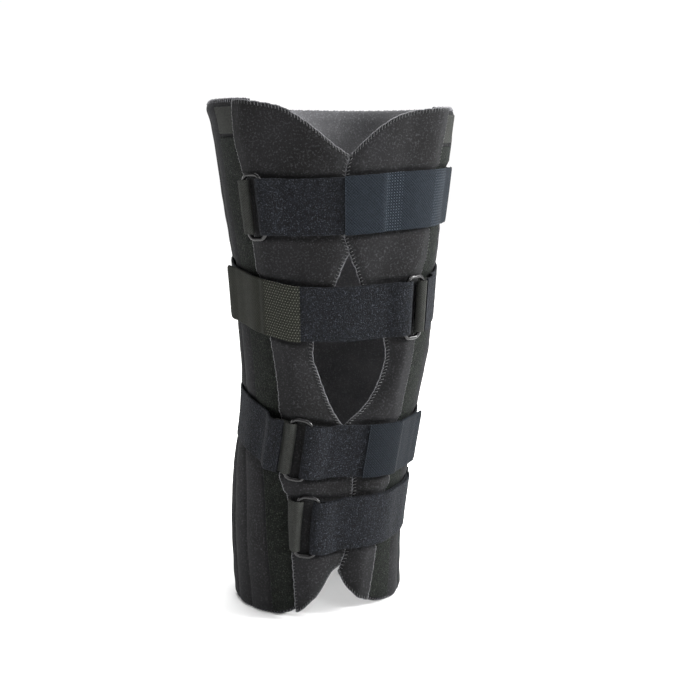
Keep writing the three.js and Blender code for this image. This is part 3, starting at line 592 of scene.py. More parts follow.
def webbing(name, dark, light, fleck, rib, cross, worn=0.0, hooked=(), stagger=0.0):
    """Flat nylon webbing: ribs along and across it, and rows of pale hook feet.

    rib and cross are the pitches of the weave. The feet show in the bands of hooked, which run
    from one length to another, and elsewhere by the share worn. stagger is how far each row of
    feet is shifted from the last.
    """
    material, tree, _ = blank(name)
    place = add(tree, "ShaderNodeUVMap", uv_map="mm")
    parts = add(tree, "ShaderNodeSeparateXYZ", {"Vector": place})
    along, across = parts.outputs[0], parts.outputs[1]

    def wave(part, pitch):
        turns = add(tree, "ShaderNodeMath", {0: part, 1: 2 * math.pi / pitch}, operation="MULTIPLY")
        return add(tree, "ShaderNodeMath", {0: turns}, operation="SINE")

    weave = add(tree, "ShaderNodeMath", {0: wave(along, rib), 1: wave(across, cross)},
                operation="MULTIPLY")
    slanted = add(tree, "ShaderNodeMath", {0: along, 1: across}, operation="ADD")
    twill = add(tree, "ShaderNodeMath", {0: wave(slanted, 1.3 * rib), 1: 0.35, 2: weave},
                operation="MULTIPLY_ADD")
    spun = add(tree, "ShaderNodeTexNoise", {"Vector": place, "Scale": 0.8, "Detail": 3.0,
                                            "Roughness": 0.7})
    height = add(tree, "ShaderNodeMath", {0: spun, 1: 3.6, 2: twill}, operation="MULTIPLY_ADD")
    wide = add(tree, "ShaderNodeTexNoise", {"Vector": place, "Scale": 0.16, "Detail": 2.0})
    cloudy = add(tree, "ShaderNodeMath", {0: height, 1: wide}, operation="ADD")
    tone = add(tree, "ShaderNodeMapRange", {"Value": cloudy, "From Min": 1.4, "From Max": 3.0})
    band = worn
    for low, high in hooked:
        middle, half = (low + high) / 2, (high - low) / 2
        past = add(tree, "ShaderNodeMath", {0: along, 1: middle}, operation="SUBTRACT")
        off = add(tree, "ShaderNodeMath", {0: past}, operation="ABSOLUTE")
        inside = add(tree, "ShaderNodeMapRange", {"Value": off, "From Min": half,
                                                  "From Max": half - 2.0})
        band = add(tree, "ShaderNodeMath", {0: band, 1: inside}, operation="MAXIMUM")
    shifted = add(tree, "ShaderNodeMath", {0: across, 1: stagger, 2: along},
                  operation="MULTIPLY_ADD")
    rows = add(tree, "ShaderNodeMath", {0: wave(shifted, HOOK_PITCH), 1: 1.0}, operation="ADD")
    columns = add(tree, "ShaderNodeMath", {0: wave(across, HOOK_PITCH), 1: 1.0}, operation="ADD")
    dots = add(tree, "ShaderNodeMath", {0: rows, 1: columns}, operation="MULTIPLY")
    chance = add(tree, "ShaderNodeMath", {0: spun, 1: 1.2}, operation="ADD")
    uneven = add(tree, "ShaderNodeMath", {0: dots, 1: chance}, operation="MULTIPLY")
    feet = add(tree, "ShaderNodeMapRange", {"Value": uneven, "From Min": 3.4, "From Max": 6.4})
    shown = add(tree, "ShaderNodeMath", {0: feet, 1: band}, operation="MULTIPLY")
    finish_with(tree, flecked(tree, tone, shown, dark, light, fleck), {
        "Roughness": 0.78, "IOR": 1.53, "Specular IOR Level": 0.06, "Sheen Weight": 0.01,
        "Sheen Roughness": 0.4}, height, 0.6, 0.22)
    return material


hook_webbing = webbing("nylon_hook_webbing", "#0b0e11", "#181c21", "#333940", 1.9, 1.9, worn=0.25)
dotted_webbing = webbing("nylon_hook_webbing_thigh", "#0f1317", "#1e2329", "#424951", 1.9, 1.9,
                         hooked=((27.0, 41.5), (67.0, 90.0)))
tweed_webbing = webbing("nylon_hook_webbing_knee", "#161714", "#272823", "#5a5b54", 1.5, 1.9,
                        hooked=((-3.0, 27.0),), stagger=0.5)
smooth_webbing = webbing("nylon_plain_webbing", "#1f201e", "#363735", "#454643", 1.2, 1.0, worn=0.1)
for made in (hook_webbing, dotted_webbing, tweed_webbing, smooth_webbing):
    print("webbing:", made.name)


# %% Moulded plastic and thread
def moulded_acetal(name, colour):
    """Black acetal from a polished mould: glossy, with the faint unevenness of a moulded bar."""
    material, tree, place = blank(name)
    flow = add(tree, "ShaderNodeTexNoise", {"Vector": place, "Scale": 1 / (4 * MM), "Detail": 2.0})
    gloss = add(tree, "ShaderNodeMapRange", {"Value": flow, "To Min": 0.18, "To Max": 0.3})
    finish_with(tree, paint(colour), {
        "Roughness": gloss, "IOR": 1.48, "Specular IOR Level": 0.45}, flow, 0.12, 0.1)
    return material


def sewing_thread(name, dark, light):
    """Textured polyester thread: two plies whose twist shows as small light and dark steps."""
    material, tree, place = blank(name)
    ply = add(tree, "ShaderNodeTexNoise", {"Vector": place, "Scale": 1 / (1.6 * MM), "Detail": 1.0})
    tone = add(tree, "ShaderNodeMapRange", {"Value": ply, "From Min": 0.35, "From Max": 0.65})
    twist = add(tree, "ShaderNodeMix", {"Factor": tone, "A": paint(dark), "B": paint(light)},
                data_type="RGBA")
    finish_with(tree, twist, {"Roughness": 0.6, "IOR": 1.55, "Sheen Weight": 0.2})
    return material


ring_plastic = moulded_acetal("moulded_black_acetal", "#0b0b0c")
edge_thread = sewing_thread("grey_polyester_thread", "#363639", "#6e6e73")
dark_thread = sewing_thread("dark_polyester_thread", "#161718", "#343537")
print("plastic and thread:", ring_plastic.name, edge_thread.name, dark_thread.name)

# %% [markdown]
# ## The two front wings
# A wing is foam between two cloths, cut to shape and overlocked along its edge, which squeezes
# the foam thin and draws the edge into small scallops. A cloth simulation would round it like
# a cushion, but this foam is held flat by the straps, so the form is given: full in the
# open, pressed in under each strap, proud beside it, and thin at the edge.

# %% Wing surfaces
SCALLOP, SCALLOP_DEPTH = 7.2, 0.55        # the overlock draws the edge in about every 7 mm
ROWS_BETWEEN = [42, 30, 14, 30, 48, 30, 28, 30, 42]   # hem, edges of the straps, rim
WING_COLUMNS = 66
RIMS = (np.s_[0], np.s_[-1], np.s_[:, 0], np.s_[:, -1])   # outermost rows and columns of a grid


def scalloped(arc):
    """How far the thread draws an edge in or lets it out, that far along it."""
    return (np.abs(np.sin(np.pi * arc / SCALLOP)) ** 0.7 - 0.6) * SCALLOP_DEPTH


def fullness(distance, reach):
    """Rounded end of a foam edge, from 0 at the very edge to 1 inside."""
    return np.sqrt(1 - (1 - np.clip(distance / reach, 0, 1)) ** 2)


def wing_surfaces(side):
    """Face and back of a wing, and places in mm, on rows that follow the straps' edges."""
    wing, half = WINGS[side], STRAP_WIDTH / 2
    lines = [lambda deg: height_at(wing["hem"], deg)]
    for strap in reversed(STRAPS):
        lines.append(lambda deg, strap=strap: strap_height(strap, deg) - half)
        lines.append(lambda deg, strap=strap: strap_height(strap, deg) + half)
    lines.append(lambda deg: height_at(wing["top"], deg))
    share = [np.arange(count) / count for count in ROWS_BETWEEN]
    share[0] = share[0] ** 1.6
    share[-1] = 1 - (1 - share[-1]) ** 1.6
    share[-1] = np.append(share[-1], 1.0)

    def heights(deg):
        first, parts = 0, []
        for k, shares in enumerate(share):
            rows = deg[first:first + len(shares)]
            parts.append(mix(lines[k](rows), lines[k + 1](rows), shares[:, None]))
            first += len(shares)
        return np.concatenate(parts)

    rows = sum(len(shares) for shares in share)
    s = np.tile(crowded(WING_COLUMNS), (rows, 1))
    deg = np.zeros_like(s)
    for _ in range(8):
        z = heights(deg)
        start, stop = angle_at(wing["outer"], z), angle_at(wing["inner"], z)
        deg = mix(start, stop, s)
    scale = mm_per_degree(start, z, OVER)
    width = np.abs(stop - start) * scale
    q_outer, q_inner = s * width, (1 - s) * width
    q_hem, q_top = z - height_at(wing["hem"], deg), height_at(wing["top"], deg) - z
    press = pressed_by(deg, z)
    lift, thin = wing_lift(q_outer, width, press), thinned(q_outer)
    proud = 0.0
    for strap in STRAPS:
        off = np.abs(z - strap_height(strap, deg)) - half
        proud = proud + 0.55 * np.exp(-((off - 4.5) / 3.2) ** 2)
    free = smooth(1 - press * 1.4)
    relief = proud + 0.45 * ripple(deg * 1.4, z, 46, 11) + 0.22 * ripple(deg * 1.4, z, 17, 12)
    relief = free * relief
    others = np.minimum(q_inner, np.minimum(q_hem, q_top))
    edge = np.minimum(q_outer, others)
    thick = (FOAM - thin) / 2 * mix(0.6, 1.0, smooth(others / 8))
    for q in (q_outer, q_inner, q_hem, q_top):
        thick = thick * fullness(q, ROUND_EDGE)
    full = smooth(edge / 9)
    middle = lift + (FOAM - thin) / 2
    drawn_in, drawn_out, drawn_down, drawn_up = (
        np.exp(-q / THREAD_REACH) for q in (q_inner, q_outer, q_top, q_hem))
    deg_moved = deg + scalloped(z) * (drawn_in - drawn_out) * np.sign(stop - start) / scale
    z_moved = z + scalloped(deg * scale) * (drawn_down - drawn_up)
    dent = smooth(others / 9) * DENT * press
    face = point(deg_moved, z_moved, middle + thick - dent + full * relief)
    back = point(deg_moved, z_moved, middle - thick)
    for rim in RIMS:
        back[rim] = face[rim]
    return face, back, np.stack([deg * scale, z], axis=-1)


def foam_piece(name, node, face, back, uv):
    """Foam between its cloth and its lining, in the place of a plain solid."""
    piece = closed_sheet(name, face, back, [panel_cloth, lining_cloth], uv)
    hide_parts(node)
    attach(piece, "root")
    print(piece.name, "faces:", len(piece.data.polygons))
    return face, back


surfaces = {}
for side in WINGS:
    surfaces[side] = foam_piece(f"wing_{side}", f"front_panel_{side}", *wing_surfaces(side))

# %% [markdown]
# ## The back panel
# It is the same foam and cloth, and goes from one wing's outer edge round the back to the
# other's. Three channels at each side hold flat stays, so the cloth stands up between the
# sewn lines like a quilt. Each rib is a rounded profile with a narrow valley at its seam.

# %% Back panel surfaces
PANEL_ROWS, RIB_VALLEY = 128, 0.9
SIDE_COLUMNS, RIB_COLUMNS, MIDDLE_COLUMNS = 17, 48, 100


def panel_surfaces():
    """Face and back of the panel, with columns that follow the ribs, and places in mm."""
    share = mix(np.linspace(0, 1, PANEL_ROWS), crowded(PANEL_ROWS), 0.75)[:, None]
    z = HEIGHT * share
    scale = mm_per_degree(90.0, z, FOAM)
    pitch = RIB_PITCH / scale
    ribs = [angle_at(RIGHT_RIBS, z), 360 + angle_at(LEFT_RIBS, z)]
    front = [angle_at(RIGHT_OUTER, z) - LAP / scale, 360 + angle_at(LEFT_OUTER, z) + LAP / scale]
    ramp = (1 - np.cos(np.linspace(0, np.pi / 2, SIDE_COLUMNS + 1)))[None, :]
    third, long = np.linspace(0, 3, RIB_COLUMNS + 1), np.linspace(0, 1, MIDDLE_COLUMNS + 1)
    deg = np.concatenate([
        mix(front[0], ribs[0], ramp)[:, :-1],
        ribs[0] + pitch * third[None, :-1],
        mix(ribs[0] + 3 * pitch, ribs[1] - 3 * pitch, long[None, :-1]),
        ribs[1] - pitch * third[::-1][None, :-1],
        mix(ribs[1], front[1], 1 - ramp[:, ::-1])], axis=1)
    z = mix(height_at(BACK_HEM, deg), height_at(BACK_TOP, deg), share)
    press = pressed_by(wrapped(deg), z)
    q_side = np.minimum(np.abs(deg - deg[:, :1]), np.abs(deg[:, -1:] - deg)) * scale
    q_top, q_hem = height_at(BACK_TOP, deg) - z, z - height_at(BACK_HEM, deg)
    phase, ribbed = np.zeros_like(deg), np.zeros(deg.shape[1])
    beyond = SIDE_COLUMNS + RIB_COLUMNS + MIDDLE_COLUMNS
    for first, turns in ((SIDE_COLUMNS, third), (beyond, third[::-1])):
        phase[:, first:first + RIB_COLUMNS + 1] = turns
        ribbed[first:first + RIB_COLUMNS + 1] = 1
    raised = np.abs(np.sin(np.pi * phase)) ** 0.5
    rib = ribbed * ((RIB + RIB_VALLEY) * raised - RIB_VALLEY) * (1 - press) - SINK * press
    arc = deg * scale
    rib = rib + 0.35 * ripple(arc, z, 60, 21) + ribbed * raised * 0.3 * ripple(arc, z, 24, 22)
    edge = np.minimum(np.minimum(q_side, q_top), q_hem + 2)
    thick = FOAM / 2 * mix(0.62, 1.0, smooth(edge / 8))
    thick = thick * fullness(q_side, ROUND_EDGE) * fullness(q_top, ROUND_EDGE)
    thick = thick * fullness(q_hem, 1.2)
    wave = scalloped(arc) * np.exp(-q_top / THREAD_REACH)
    middle = FOAM / 2 + flared(deg, share)
    face = point(deg, z + wave, middle + thick + smooth(edge / 7) * rib)
    back = point(deg, z + wave, middle - thick)
    for rim in RIMS:
        face[rim] = back[rim] = (face[rim] + back[rim]) / 2
    return face, back, np.stack([arc, z], axis=-1)


surfaces["back"] = foam_piece("panel_round_the_back", "back_panel", *panel_surfaces())

# %% [markdown]
# ## Overlock thread
# Every cut edge of the real panels is wrapped in grey thread: short stitches go over the edge,
# and two looper threads meet along it in a fine chain, the light line that the photograph
# shows. Each stitch here is a real thread that starts on the back, goes round the edge and
# ends on the face, because a painted line would not stand off the edge against a pale ground.

# %% Threads along an edge
CHAIN, STITCH, STANDS_OFF = 0.3, 0.26, 0.25          # radius of the threads, and their height


def facing(grid):
    """Direction that a grid of surface points faces, away from the leg."""
    normal = unit(np.cross(np.gradient(grid, axis=0), np.gradient(grid, axis=1)) + 1e-12)
    away = np.sum(normal[3:-3, 3:-3] * grid[3:-3, 3:-3] * [1, 1, 0])
    return normal * np.sign(away)


def inwards(grid):
    """The grid four times, turned so that its rows run inwards from each edge in turn."""
    upright = grid.transpose(1, 0, 2)
    return [turned[:, :30] for turned in (grid, grid[:, ::-1], upright, upright[:, ::-1])]


def taken(grid, edge_length, along, depth):
    """Points of a turned grid, that far along its edge and that far in from it."""
    i = np.interp(along, edge_length, np.arange(len(grid)))
    low = np.minimum(i.astype(int), len(grid) - 2)
    lines = mix(grid[low], grid[low + 1], (i - low)[:, None, None])
    found = []
    for line, d in zip(lines, depth):
        reach = length_along(line)
        found.append([np.interp(d, reach, line[:, axis]) for axis in range(3)])
    return np.array(found)


def run(line):
    """A thread's points, with the way they face: away from the leg."""
    return line, np.tile(line.mean(axis=0) * [1, 1, 0], (len(line), 1))


def overlock(name, face, back, pitch, depth, stitch_thread):
    """A chain along each edge, and stitches of that pitch and depth over it."""
    chain, stitches = [], []
    outside, within = face + STANDS_OFF * facing(face), back - STANDS_OFF * facing(back)
    for over, beneath, edge in zip(inwards(outside), inwards(within), inwards(face)):
        edge_length = length_along(edge[:, 0])
        at = np.arange(0.3, edge_length[-1] - 0.3, 0.9)
        zigzag = 0.45 + 0.3 * np.sin(2 * np.pi * at / pitch)
        chain.append(run(taken(over, edge_length, at, zigzag)))
        for start in np.arange(pitch / 2, edge_length[-1] - 1, pitch):
            reach = np.array([0.1, 0.9, 1.8, depth])
            upper = taken(over, edge_length, start + 0.35 * reach, reach)
            lower = taken(beneath, edge_length, start - 0.2 * reach[:3], reach[:3])
            stitches.append(run(np.concatenate([lower[::-1], upper])))
    for piece in (threads(f"{name}_chain", chain, CHAIN, edge_thread),
                  threads(f"{name}_stitches", stitches, STITCH, stitch_thread, sides=4)):
        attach(piece, "root")
        print(piece.name, "faces:", len(piece.data.polygons))


for side in WINGS:
    overlock(f"overlock_{side}", *surfaces[side], 2.4, 3.4, dark_thread)
overlock("overlock_back", *surfaces["back"], 2.6, 3.8, edge_thread)

# %% [markdown]
# ## Loop strips and stay tabs
# A dark strip of loop pile runs down each side, where the wing and the keepers can be stuck
# down, and a smooth tab closes the stay pocket at its head.

# %% Side strips
FROM_RIB, UNDER_WING = 1.5, LAP - 2        # a strip's edges: beside the ribs, and under the wing


def side_sheet(name, side, low, high, rows, material, node):
    """A strip on the back panel, from one share of its height to another."""
    wing, sign = WINGS[side], 1 if side == "left" else -1
    share = mix(low, high, crowded(rows))[:, None]
    z = HEIGHT * share
    scale = mm_per_degree(90.0, z, FOAM)
    edges = [angle_at(wing["ribs"], z) + sign * FROM_RIB / scale,
             angle_at(wing["outer"], z) + sign * UNDER_WING / scale]
    s = crowded(30)[None, :]
    deg = mix(edges[0], edges[1], s)
    z = mix(height_at(BACK_HEM, deg), height_at(BACK_TOP, deg), share)
    width = np.abs(edges[1] - edges[0]) * scale
    q = np.minimum(s, 1 - s) * width
    q_end = np.minimum(z - z[:1], z[-1:] - z)
    half = STRIP / 2 * fullness(q, 0.9) * fullness(q_end, 0.9)
    middle = FOAM + GAP + STRIP / 2 - SINK * pressed_by(wrapped(deg), z) + flared(deg, share)
    settle = 0.12 * ripple(deg * 1.4, z, 30, 31)
    face = point(deg, z, middle + half + settle * smooth(q / 3))
    back = point(deg, z, middle - half)
    for rim in RIMS:
        face[rim] = back[rim] = point(deg, z, middle)[rim]
    piece = closed_sheet(name, face, back, [material], np.stack([deg * scale, z], axis=-1))
    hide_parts(node)
    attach(piece, "root")
    print(piece.name, "width in mm", width.min().round(1), "to", width.max().round(1))


for side, top, tab_low in (("left", 0.930, 0.936), ("right", 0.925, 0.931)):
    side_sheet(f"loop_strip_{side}", side, 0.008, top, 150, side_pile,
               f"side_strip_{side}")
    side_sheet(f"pocket_tab_{side}", side, tab_low, 0.985, 26, smooth_webbing,
               f"stay_tab_{side}")

# %% [markdown]
# ## Straps, hook tabs and keepers
# All of these are flat webbing, which bends easily one way and hardly the other. So each is a
# thin section with rounded edges, swept along the way that the real one takes: over the
# foam, round the ring's bar and back on itself. Nothing is simulated: a taut strap's shape is
# given by what it lies on.

# %% Places of a ring and the level of the webbing
def ring_places(strap):
    """Height, level and bars of a strap's ring, with out as the degrees for one mm outwards."""
    at = strap["frame"]
    z = float(strap_height(strap, strap["ring"]))
    reach = (RING_WIDTH - BAR) / 2 * at["skew"]
    out = strap["side"] / at["scale"]
    inner, outer = strap["ring"] - out * reach, strap["ring"] + out * reach
    base = max(float(under(strap, a, soft=False)) for a in (inner, outer, strap["ring"]))
    return dict(z=z, scale=at["scale"], reach=reach, out=out, inner=inner, outer=outer,
                level=base + GAP + STRAP + RING_GAP + BAR / 2)


def ribbon(name, strap, line, thick, width, material, node, seed, pile=0.0, rounded=0.0):
    """Webbing along a line of angles and levels, with round edges.

    The line may give a lean for each point too, in degrees for each mm across. Pile adds small
    relief, and rounded cuts the two corners of the far end.
    """
    deg, d, lean = line if len(line) == 3 else (*line, np.zeros(len(line[0])))
    z = strap_height(strap, deg)
    scale = mm_per_degree(deg, z, d)
    moved = np.diff(deg) * (scale[1:] + scale[:-1]) / 2
    along = np.concatenate([[0], np.cumsum(np.hypot(moved, np.diff(d)))])
    step = np.gradient(along)
    tx, ty = np.gradient(deg) * scale / step, np.gradient(d) / step
    size = np.hypot(tx, ty)
    nx, ny = -ty / size, tx / size
    half = width / 2
    across = half * np.sin(np.linspace(-np.pi / 2, np.pi / 2, 33))
    across = np.sign(across) * half * (1 - (1 - np.abs(across) / half) ** 1.15)
    tall = thick / 2 * fullness(half - np.abs(across), 0.8)
    rng = np.random.default_rng(seed)
    inside = smooth((half - np.abs(across) - 1.2) / 1.5)
    rough = rng.normal(0, pile, (len(deg), len(across))) * inside
    section_a = np.concatenate([across, across[-2:0:-1]])
    h = np.tile(np.concatenate([tall, -tall[-2:0:-1]]), (len(deg), 1))
    h[:, :len(across)] += rough
    h[:, len(across):] -= rough[:, -2:0:-1]
    edge_wave = 0.12 * ripple(along[:, None], 0 * section_a[None, :], 9, seed)
    edge_wave = edge_wave * np.abs(section_a) / half
    cut = rounded * (1 - fullness(along[-1] - along, max(rounded, 0.1)))
    section_a = section_a[None, :] * (1 - cut[:, None] / half)
    a = section_a * strap["frame"]["up"][2] + edge_wave * np.sign(section_a)
    sections = point(deg[:, None] + nx[:, None] * h / scale[:, None] + section_a * lean[:, None],
                     z[:, None] + a, d[:, None] + ny[:, None] * h)
    uv = np.stack(np.broadcast_arrays(along[:, None], section_a), axis=-1)
    piece = swept(name, sections, material, uv)
    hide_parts(node)
    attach(piece, "root")
    print(piece.name, "length", round(float(along[-1])), "mm, faces", len(piece.data.polygons))


# %% The four straps
def strap_line(strap):
    """From its sewn start over the panel, round the ring's inner bar and back to its hook tab."""
    at, whole = ring_places(strap), goes_round(strap)
    start = strap["ring"] + at["out"] * strap["start"] if whole else strap["start"]
    turned = strap["side"] * 360 if whole else 0
    stop = at["inner"] + turned
    radius = BAR / 2 + RING_GAP + STRAP / 2
    low = at["level"] - radius
    deg = np.linspace(start, stop, int(abs(stop - start) * at["scale"]))[:-1]
    past = (deg - start) / at["out"] + strap["start"] if whole else np.full(len(deg), np.inf)
    tails = (2 * (KEEPER + GAP) + 0.4) * (1 - smooth((past - KEEPER_TAIL - 2) / TAIL_EASE))
    rise = 1 - smooth(np.abs(deg - stop) * at["scale"] / RING_EASE)
    d = mix(under(strap, deg) + GAP + STRAP / 2 + tails, low, rise)
    turn = np.radians(np.linspace(-90, 90, 25))
    bend_deg = stop + at["out"] * radius * np.cos(turn)
    bend_d = at["level"] + radius * np.sin(turn)
    length = abs(strap["tab"] - at["out"] * TAB_LAP + turned - stop) * at["scale"]
    t = np.linspace(0, length, int(length))[1:]
    back_deg = stop - at["out"] * t
    rise = 1 - smooth(t / RING_EASE)
    settled = mix(under(strap, back_deg) + GAP + STRAP / 2, low, rise) + STRAP + GAP
    back_d = mix(settled, at["level"] + radius, 1 - smooth(t / BACK_EASE))
    return np.concatenate([deg, bend_deg, back_deg]), np.concatenate([d, bend_d, back_d])


for number, strap in enumerate(STRAPS, 1):
    ribbon(f"pile_strap_{number}", strap, strap_line(strap), STRAP, STRAP_WIDTH, strap_pile,
           f"strap_{number}", 40 + number, pile=0.07)


# %% The hook tabs
def tab_line(strap):
    """From its lap on the strap's end to its own end, which stands off by the strap's lift."""
    at = ring_places(strap)
    length = (strap["end"] - strap["tab"]) / -at["out"]
    t = np.linspace(0, length, int(length))
    deg = strap["tab"] - at["out"] * t
    base = under(strap, deg) + 2 * GAP + STRAP
    on_strap = (STRAP + GAP) * (1 - smooth((t - TAB_LAP - 1.5) / TAB_EASE))
    lift = strap["lift"] * smooth((t - length) / TAB_RISE + 1)
    return deg, base + on_strap + TAB / 2 + lift


for number, strap in enumerate(STRAPS, 1):
    woven = (dotted_webbing, tweed_webbing, hook_webbing, hook_webbing)[number - 1]
    ribbon(f"hook_end_{number}", strap, tab_line(strap), TAB, STRAP_WIDTH + 1.2, woven,
           f"hook_tab_{number}", 50 + number, rounded=4.0)


# %% The keepers
def keeper_line(strap):
    """Round the ring's outer bar, with both ends on the panel or over the wing's outer edge."""
    at = ring_places(strap)
    radius = BAR / 2 + RING_GAP + KEEPER / 2
    spots = []

    def base(t, layer=0):
        level = float(under(strap, strap["ring"] + at["out"] * t))
        return level + GAP + KEEPER / 2 + layer * (KEEPER + GAP)

    def place(t, d, lean=0.0):
        spots.append((strap["ring"] + at["out"] * t, d, lean))

    if not strap["hugs"]:
        for share in (1, 0.82, 0.68, 0.55):
            place(share * KEEPER_TAIL, base(share * KEEPER_TAIL))
    place(at["reach"] + 0.4, at["level"] - radius)
    for turn in np.radians(-90 - 180 * np.arange(1, 8) / 8):
        place(at["reach"] + radius * math.cos(turn), at["level"] + radius * math.sin(turn))
    place(at["reach"], at["level"] + radius)
    if strap["hugs"]:
        outer, rise = LEFT_OUTER if strap["side"] < 0 else RIGHT_OUTER, STRAP_WIDTH / 2
        edge = abs(float(angle_at(outer, at["z"])) - strap["ring"]) / abs(at["out"])
        corner = max(edge - 0.8, at["reach"] + radius)
        low, high = (float(angle_at(outer, at["z"] + end)) for end in (-rise, rise))
        slant = (high - low) / STRAP_WIDTH
        most = (corner - at["reach"] - radius + 0.2) / rise / at["scale"]
        lean = max(-most, min(most, slant))
        place(at["reach"] + radius * 0.7, at["level"] + radius * 0.7, lean * 0.3)
        place(corner - 0.3, at["level"] - 0.8, lean * 0.8)
        place(corner, OVER - SINK + FOAM - THIN - DENT + 2.1, lean)
    else:
        for past, down in ((2, 0.3), (4, 0.8)):
            place(at["reach"] + past, mix(at["level"] + radius, base(at["reach"] + past, 1), down))
        for share in (0.68, 0.82, 1):
            place(share * KEEPER_TAIL, base(share * KEEPER_TAIL, 1))
    spots = np.array(spots) * [at["scale"], 1, at["scale"]]
    fine = through(spots, 110)
    return fine[:, 0] / at["scale"], fine[:, 1], fine[:, 2] / at["scale"]


for number, strap in enumerate(STRAPS, 1):
    ribbon(f"keeper_loop_{number}", strap, keeper_line(strap), KEEPER, STRAP_WIDTH - 1.5,
           smooth_webbing, f"keeper_{number}", 60 + number)

# %% [markdown]
# ## Rings
# Each ring is a moulded bar of black acetal, round in section and bent to a rounded rectangle.
# The plain solid has seven sides to its bar; this one has enough for a clean highlight.

# %% The four rings
def ring_sections(strap):
    """Sections of a ring's bar, all the way round."""
    at, up, along = ring_places(strap), strap["frame"]["up"], strap["frame"]["along"]
    level = at["level"] - at["reach"] ** 2 / (2 * math.degrees(at["scale"]))
    half = STRAP_WIDTH / 2 * up[2]
    centre = np.mean([point(strap["ring"], at["z"] + end, level) for end in (-half, half)], axis=0)
    out = unit(np.cross(along, up))
    tall, wide = STRAP_WIDTH / 2 + 1.1 + BAR / 2, (RING_WIDTH - BAR) / 2
    path, away = [], []
    for n, (x, y) in enumerate(((1, 1), (-1, 1), (-1, -1), (1, -1))):
        for turn in np.radians(n * 90 + np.linspace(0, 90, 13)):
            u = x * (wide - RING_CORNER) + RING_CORNER * math.cos(turn)
            v = y * (tall - RING_CORNER) + RING_CORNER * math.sin(turn)
            path.append(centre + along * u + up * v)
            away.append(along * math.cos(turn) + up * math.sin(turn))
    turn = np.arange(20) * 2 * np.pi / 20
    path, away = np.array(path), np.array(away)
    return (path[:, None] + BAR / 2 * (np.cos(turn)[None, :, None] * away[:, None]
                                       + np.sin(turn)[None, :, None] * out[None, None]))


for number, strap in enumerate(STRAPS, 1):
    sections = ring_sections(strap)
    piece = swept(f"acetal_ring_{number}", sections, ring_plastic, sections[..., :2], closed=True)
    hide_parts(f"ring_{number}")
    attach(piece, "root")
    packed = [[round(x / MM, 1) for x in corner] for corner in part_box(f"ring_{number}")]
    own = sections.reshape(-1, 3) - MIDDLE
    print(piece.name, "packed", packed, "here", own.min(0).round(1), own.max(0).round(1))

# %% [markdown]
# ## Floor, light and camera
# The photograph is a cut-out on white with soft light from the front and the right. A white
# floor that glows a little like a light table, white walls all round, a ceiling that is darker
# at the left, a large soft light overhead and one at the right give the same light. A small one
# gives the rings their crisp highlight. The camera stands where a fit of the straps and edges
# to the photograph puts it.

# %% Floor and lights
WHITE = paint("#ffffff")
FLOOR_HALF = 6.0                         # metres


def studio_floor():
    """A white floor that glows more with the distance from the middle, so it has no edge."""
    material, tree, place = blank("white_floor_painted_glow")
    # Painted glow: the floor emits light of its own, weaker near the middle and stronger far away.
    away = add(tree, "ShaderNodeVectorMath", {0: place}, operation="LENGTH")
    glow = add(tree, "ShaderNodeMapRange", {"Value": away, "From Min": 0.1, "From Max": 0.7,
                                            "To Min": 0.05, "To Max": 0.45})
    grain = add(tree, "ShaderNodeTexNoise", {"Vector": place, "Scale": 60.0})
    finish_with(tree, paint("#f7f7f7"), {
        "Roughness": 0.9, "Emission Color": WHITE, "Emission Strength": glow}, grain, 0.02, 0.5)
    mesh = bpy.data.meshes.new("studio_floor")
    corners = [(x * FLOOR_HALF, y * FLOOR_HALF, 0) for x, y in ((-1, -1), (1, -1), (1, 1), (-1, 1))]
    mesh.from_pydata(corners, [], [(0, 1, 2, 3)])
    mesh.materials.append(material)
    return linked("studio_floor", mesh)


def placed_at(name, data, right, up, back, at):
    """An object for a light or the camera, which looks away from back, at a place in metres."""
    made = linked(name, data)
    turned = Matrix(np.stack([right, up, back], axis=1).tolist()).to_4x4()
    turned.translation = at
    made.matrix_world = turned
    return made


def soft_light(name, at, towards, size, power):
    light = bpy.data.lights.new(name, "AREA")
    light.shape, light.size, light.energy = "DISK", size, power
    back = unit(np.array(at, float) - np.array(towards, float))
    right = unit(np.cross((0.0, 0.0, 1.0), back))
    placed_at(name, light, right, np.cross(back, right), back, at)


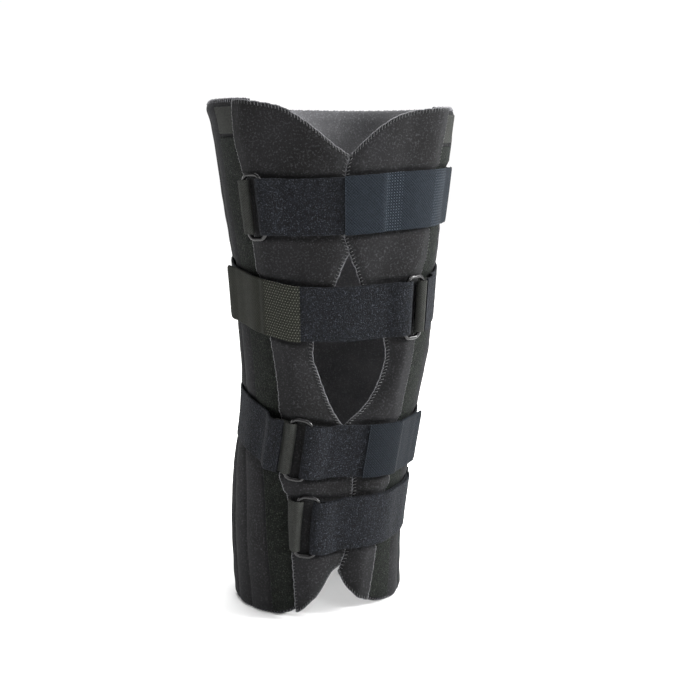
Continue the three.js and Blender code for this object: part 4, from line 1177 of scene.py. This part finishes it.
studio_floor()
soft_light("key_light", (1.35, -0.6, 0.8), (0, 0, 0.2), 0.5, 44)
soft_light("top_light", (0.1, 0.2, 1.9), (0, 0, 0.0), 1.4, 40)
soft_light("rim_light", (-1.2, 0.8, 0.5), (0, 0, 0.2), 0.6, 4)
soft_light("spark_light", (0.25, -1.1, 1.0), (0, 0, 0.2), 0.12, 3)
world = bpy.data.worlds.new("studio_air")
world.use_nodes = True
air = world.node_tree
way = add(air, "ShaderNodeTexCoord").outputs["Generated"]
sideways = add(air, "ShaderNodeVectorMath", {0: way, 1: (1.0, 0.3, 0.0)}, operation="DOT_PRODUCT")
ceiling = add(air, "ShaderNodeMapRange", {"Value": sideways, "From Min": -0.5, "From Max": 0.15,
                                          "To Min": 0.0, "To Max": 1.25})
upwards = add(air, "ShaderNodeSeparateXYZ", {"Vector": way}).outputs[2]
strength = add(air, "ShaderNodeMapRange", {"Value": upwards, "From Min": 0.3, "From Max": 0.42,
                                           "To Min": 1.02, "To Max": ceiling})
background = air.nodes["Background"].inputs
air.links.new(strength.outputs[0], background["Strength"])
background["Color"].default_value = WHITE
bpy.context.scene.world = world
bpy.context.scene.view_settings.view_transform = "Standard"

# %% Camera
TARGET = np.array([12.0, 0.0, 186.0]) - MIDDLE
AZIMUTH, ELEVATION, ROLL, DISTANCE = -11.0, 8.2, -1.5, 845.0
SENSOR, FOCAL_PIXELS, PICTURE = 36.0, 1130, 700
turn, rise, roll = np.radians([AZIMUTH, ELEVATION, ROLL])
back = np.array([math.sin(turn) * math.cos(rise), -math.cos(turn) * math.cos(rise), math.sin(rise)])
level = unit(np.cross(-back, (0.0, 0.0, 1.0)))
upright = np.cross(level, -back)
right = math.cos(roll) * level + math.sin(roll) * upright
up = -math.sin(roll) * level + math.cos(roll) * upright
camera_data = bpy.data.cameras.new("camera")
camera_data.sensor_width, camera_data.lens = SENSOR, FOCAL_PIXELS / PICTURE * SENSOR
camera_data.clip_start, camera_data.clip_end = 0.01, 30.0
stand = ((TARGET + DISTANCE * back) * MM).tolist()
camera = placed_at("camera", camera_data, right, up, back, stand)
bpy.context.scene.camera = camera
print("camera at", [round(x, 3) for x in camera.matrix_world.translation])

# %% [markdown]
# ## Last update of the scene
# The fine pieces must not change the size of the part. The scene is brought up to date.

bpy.context.view_layer.update()
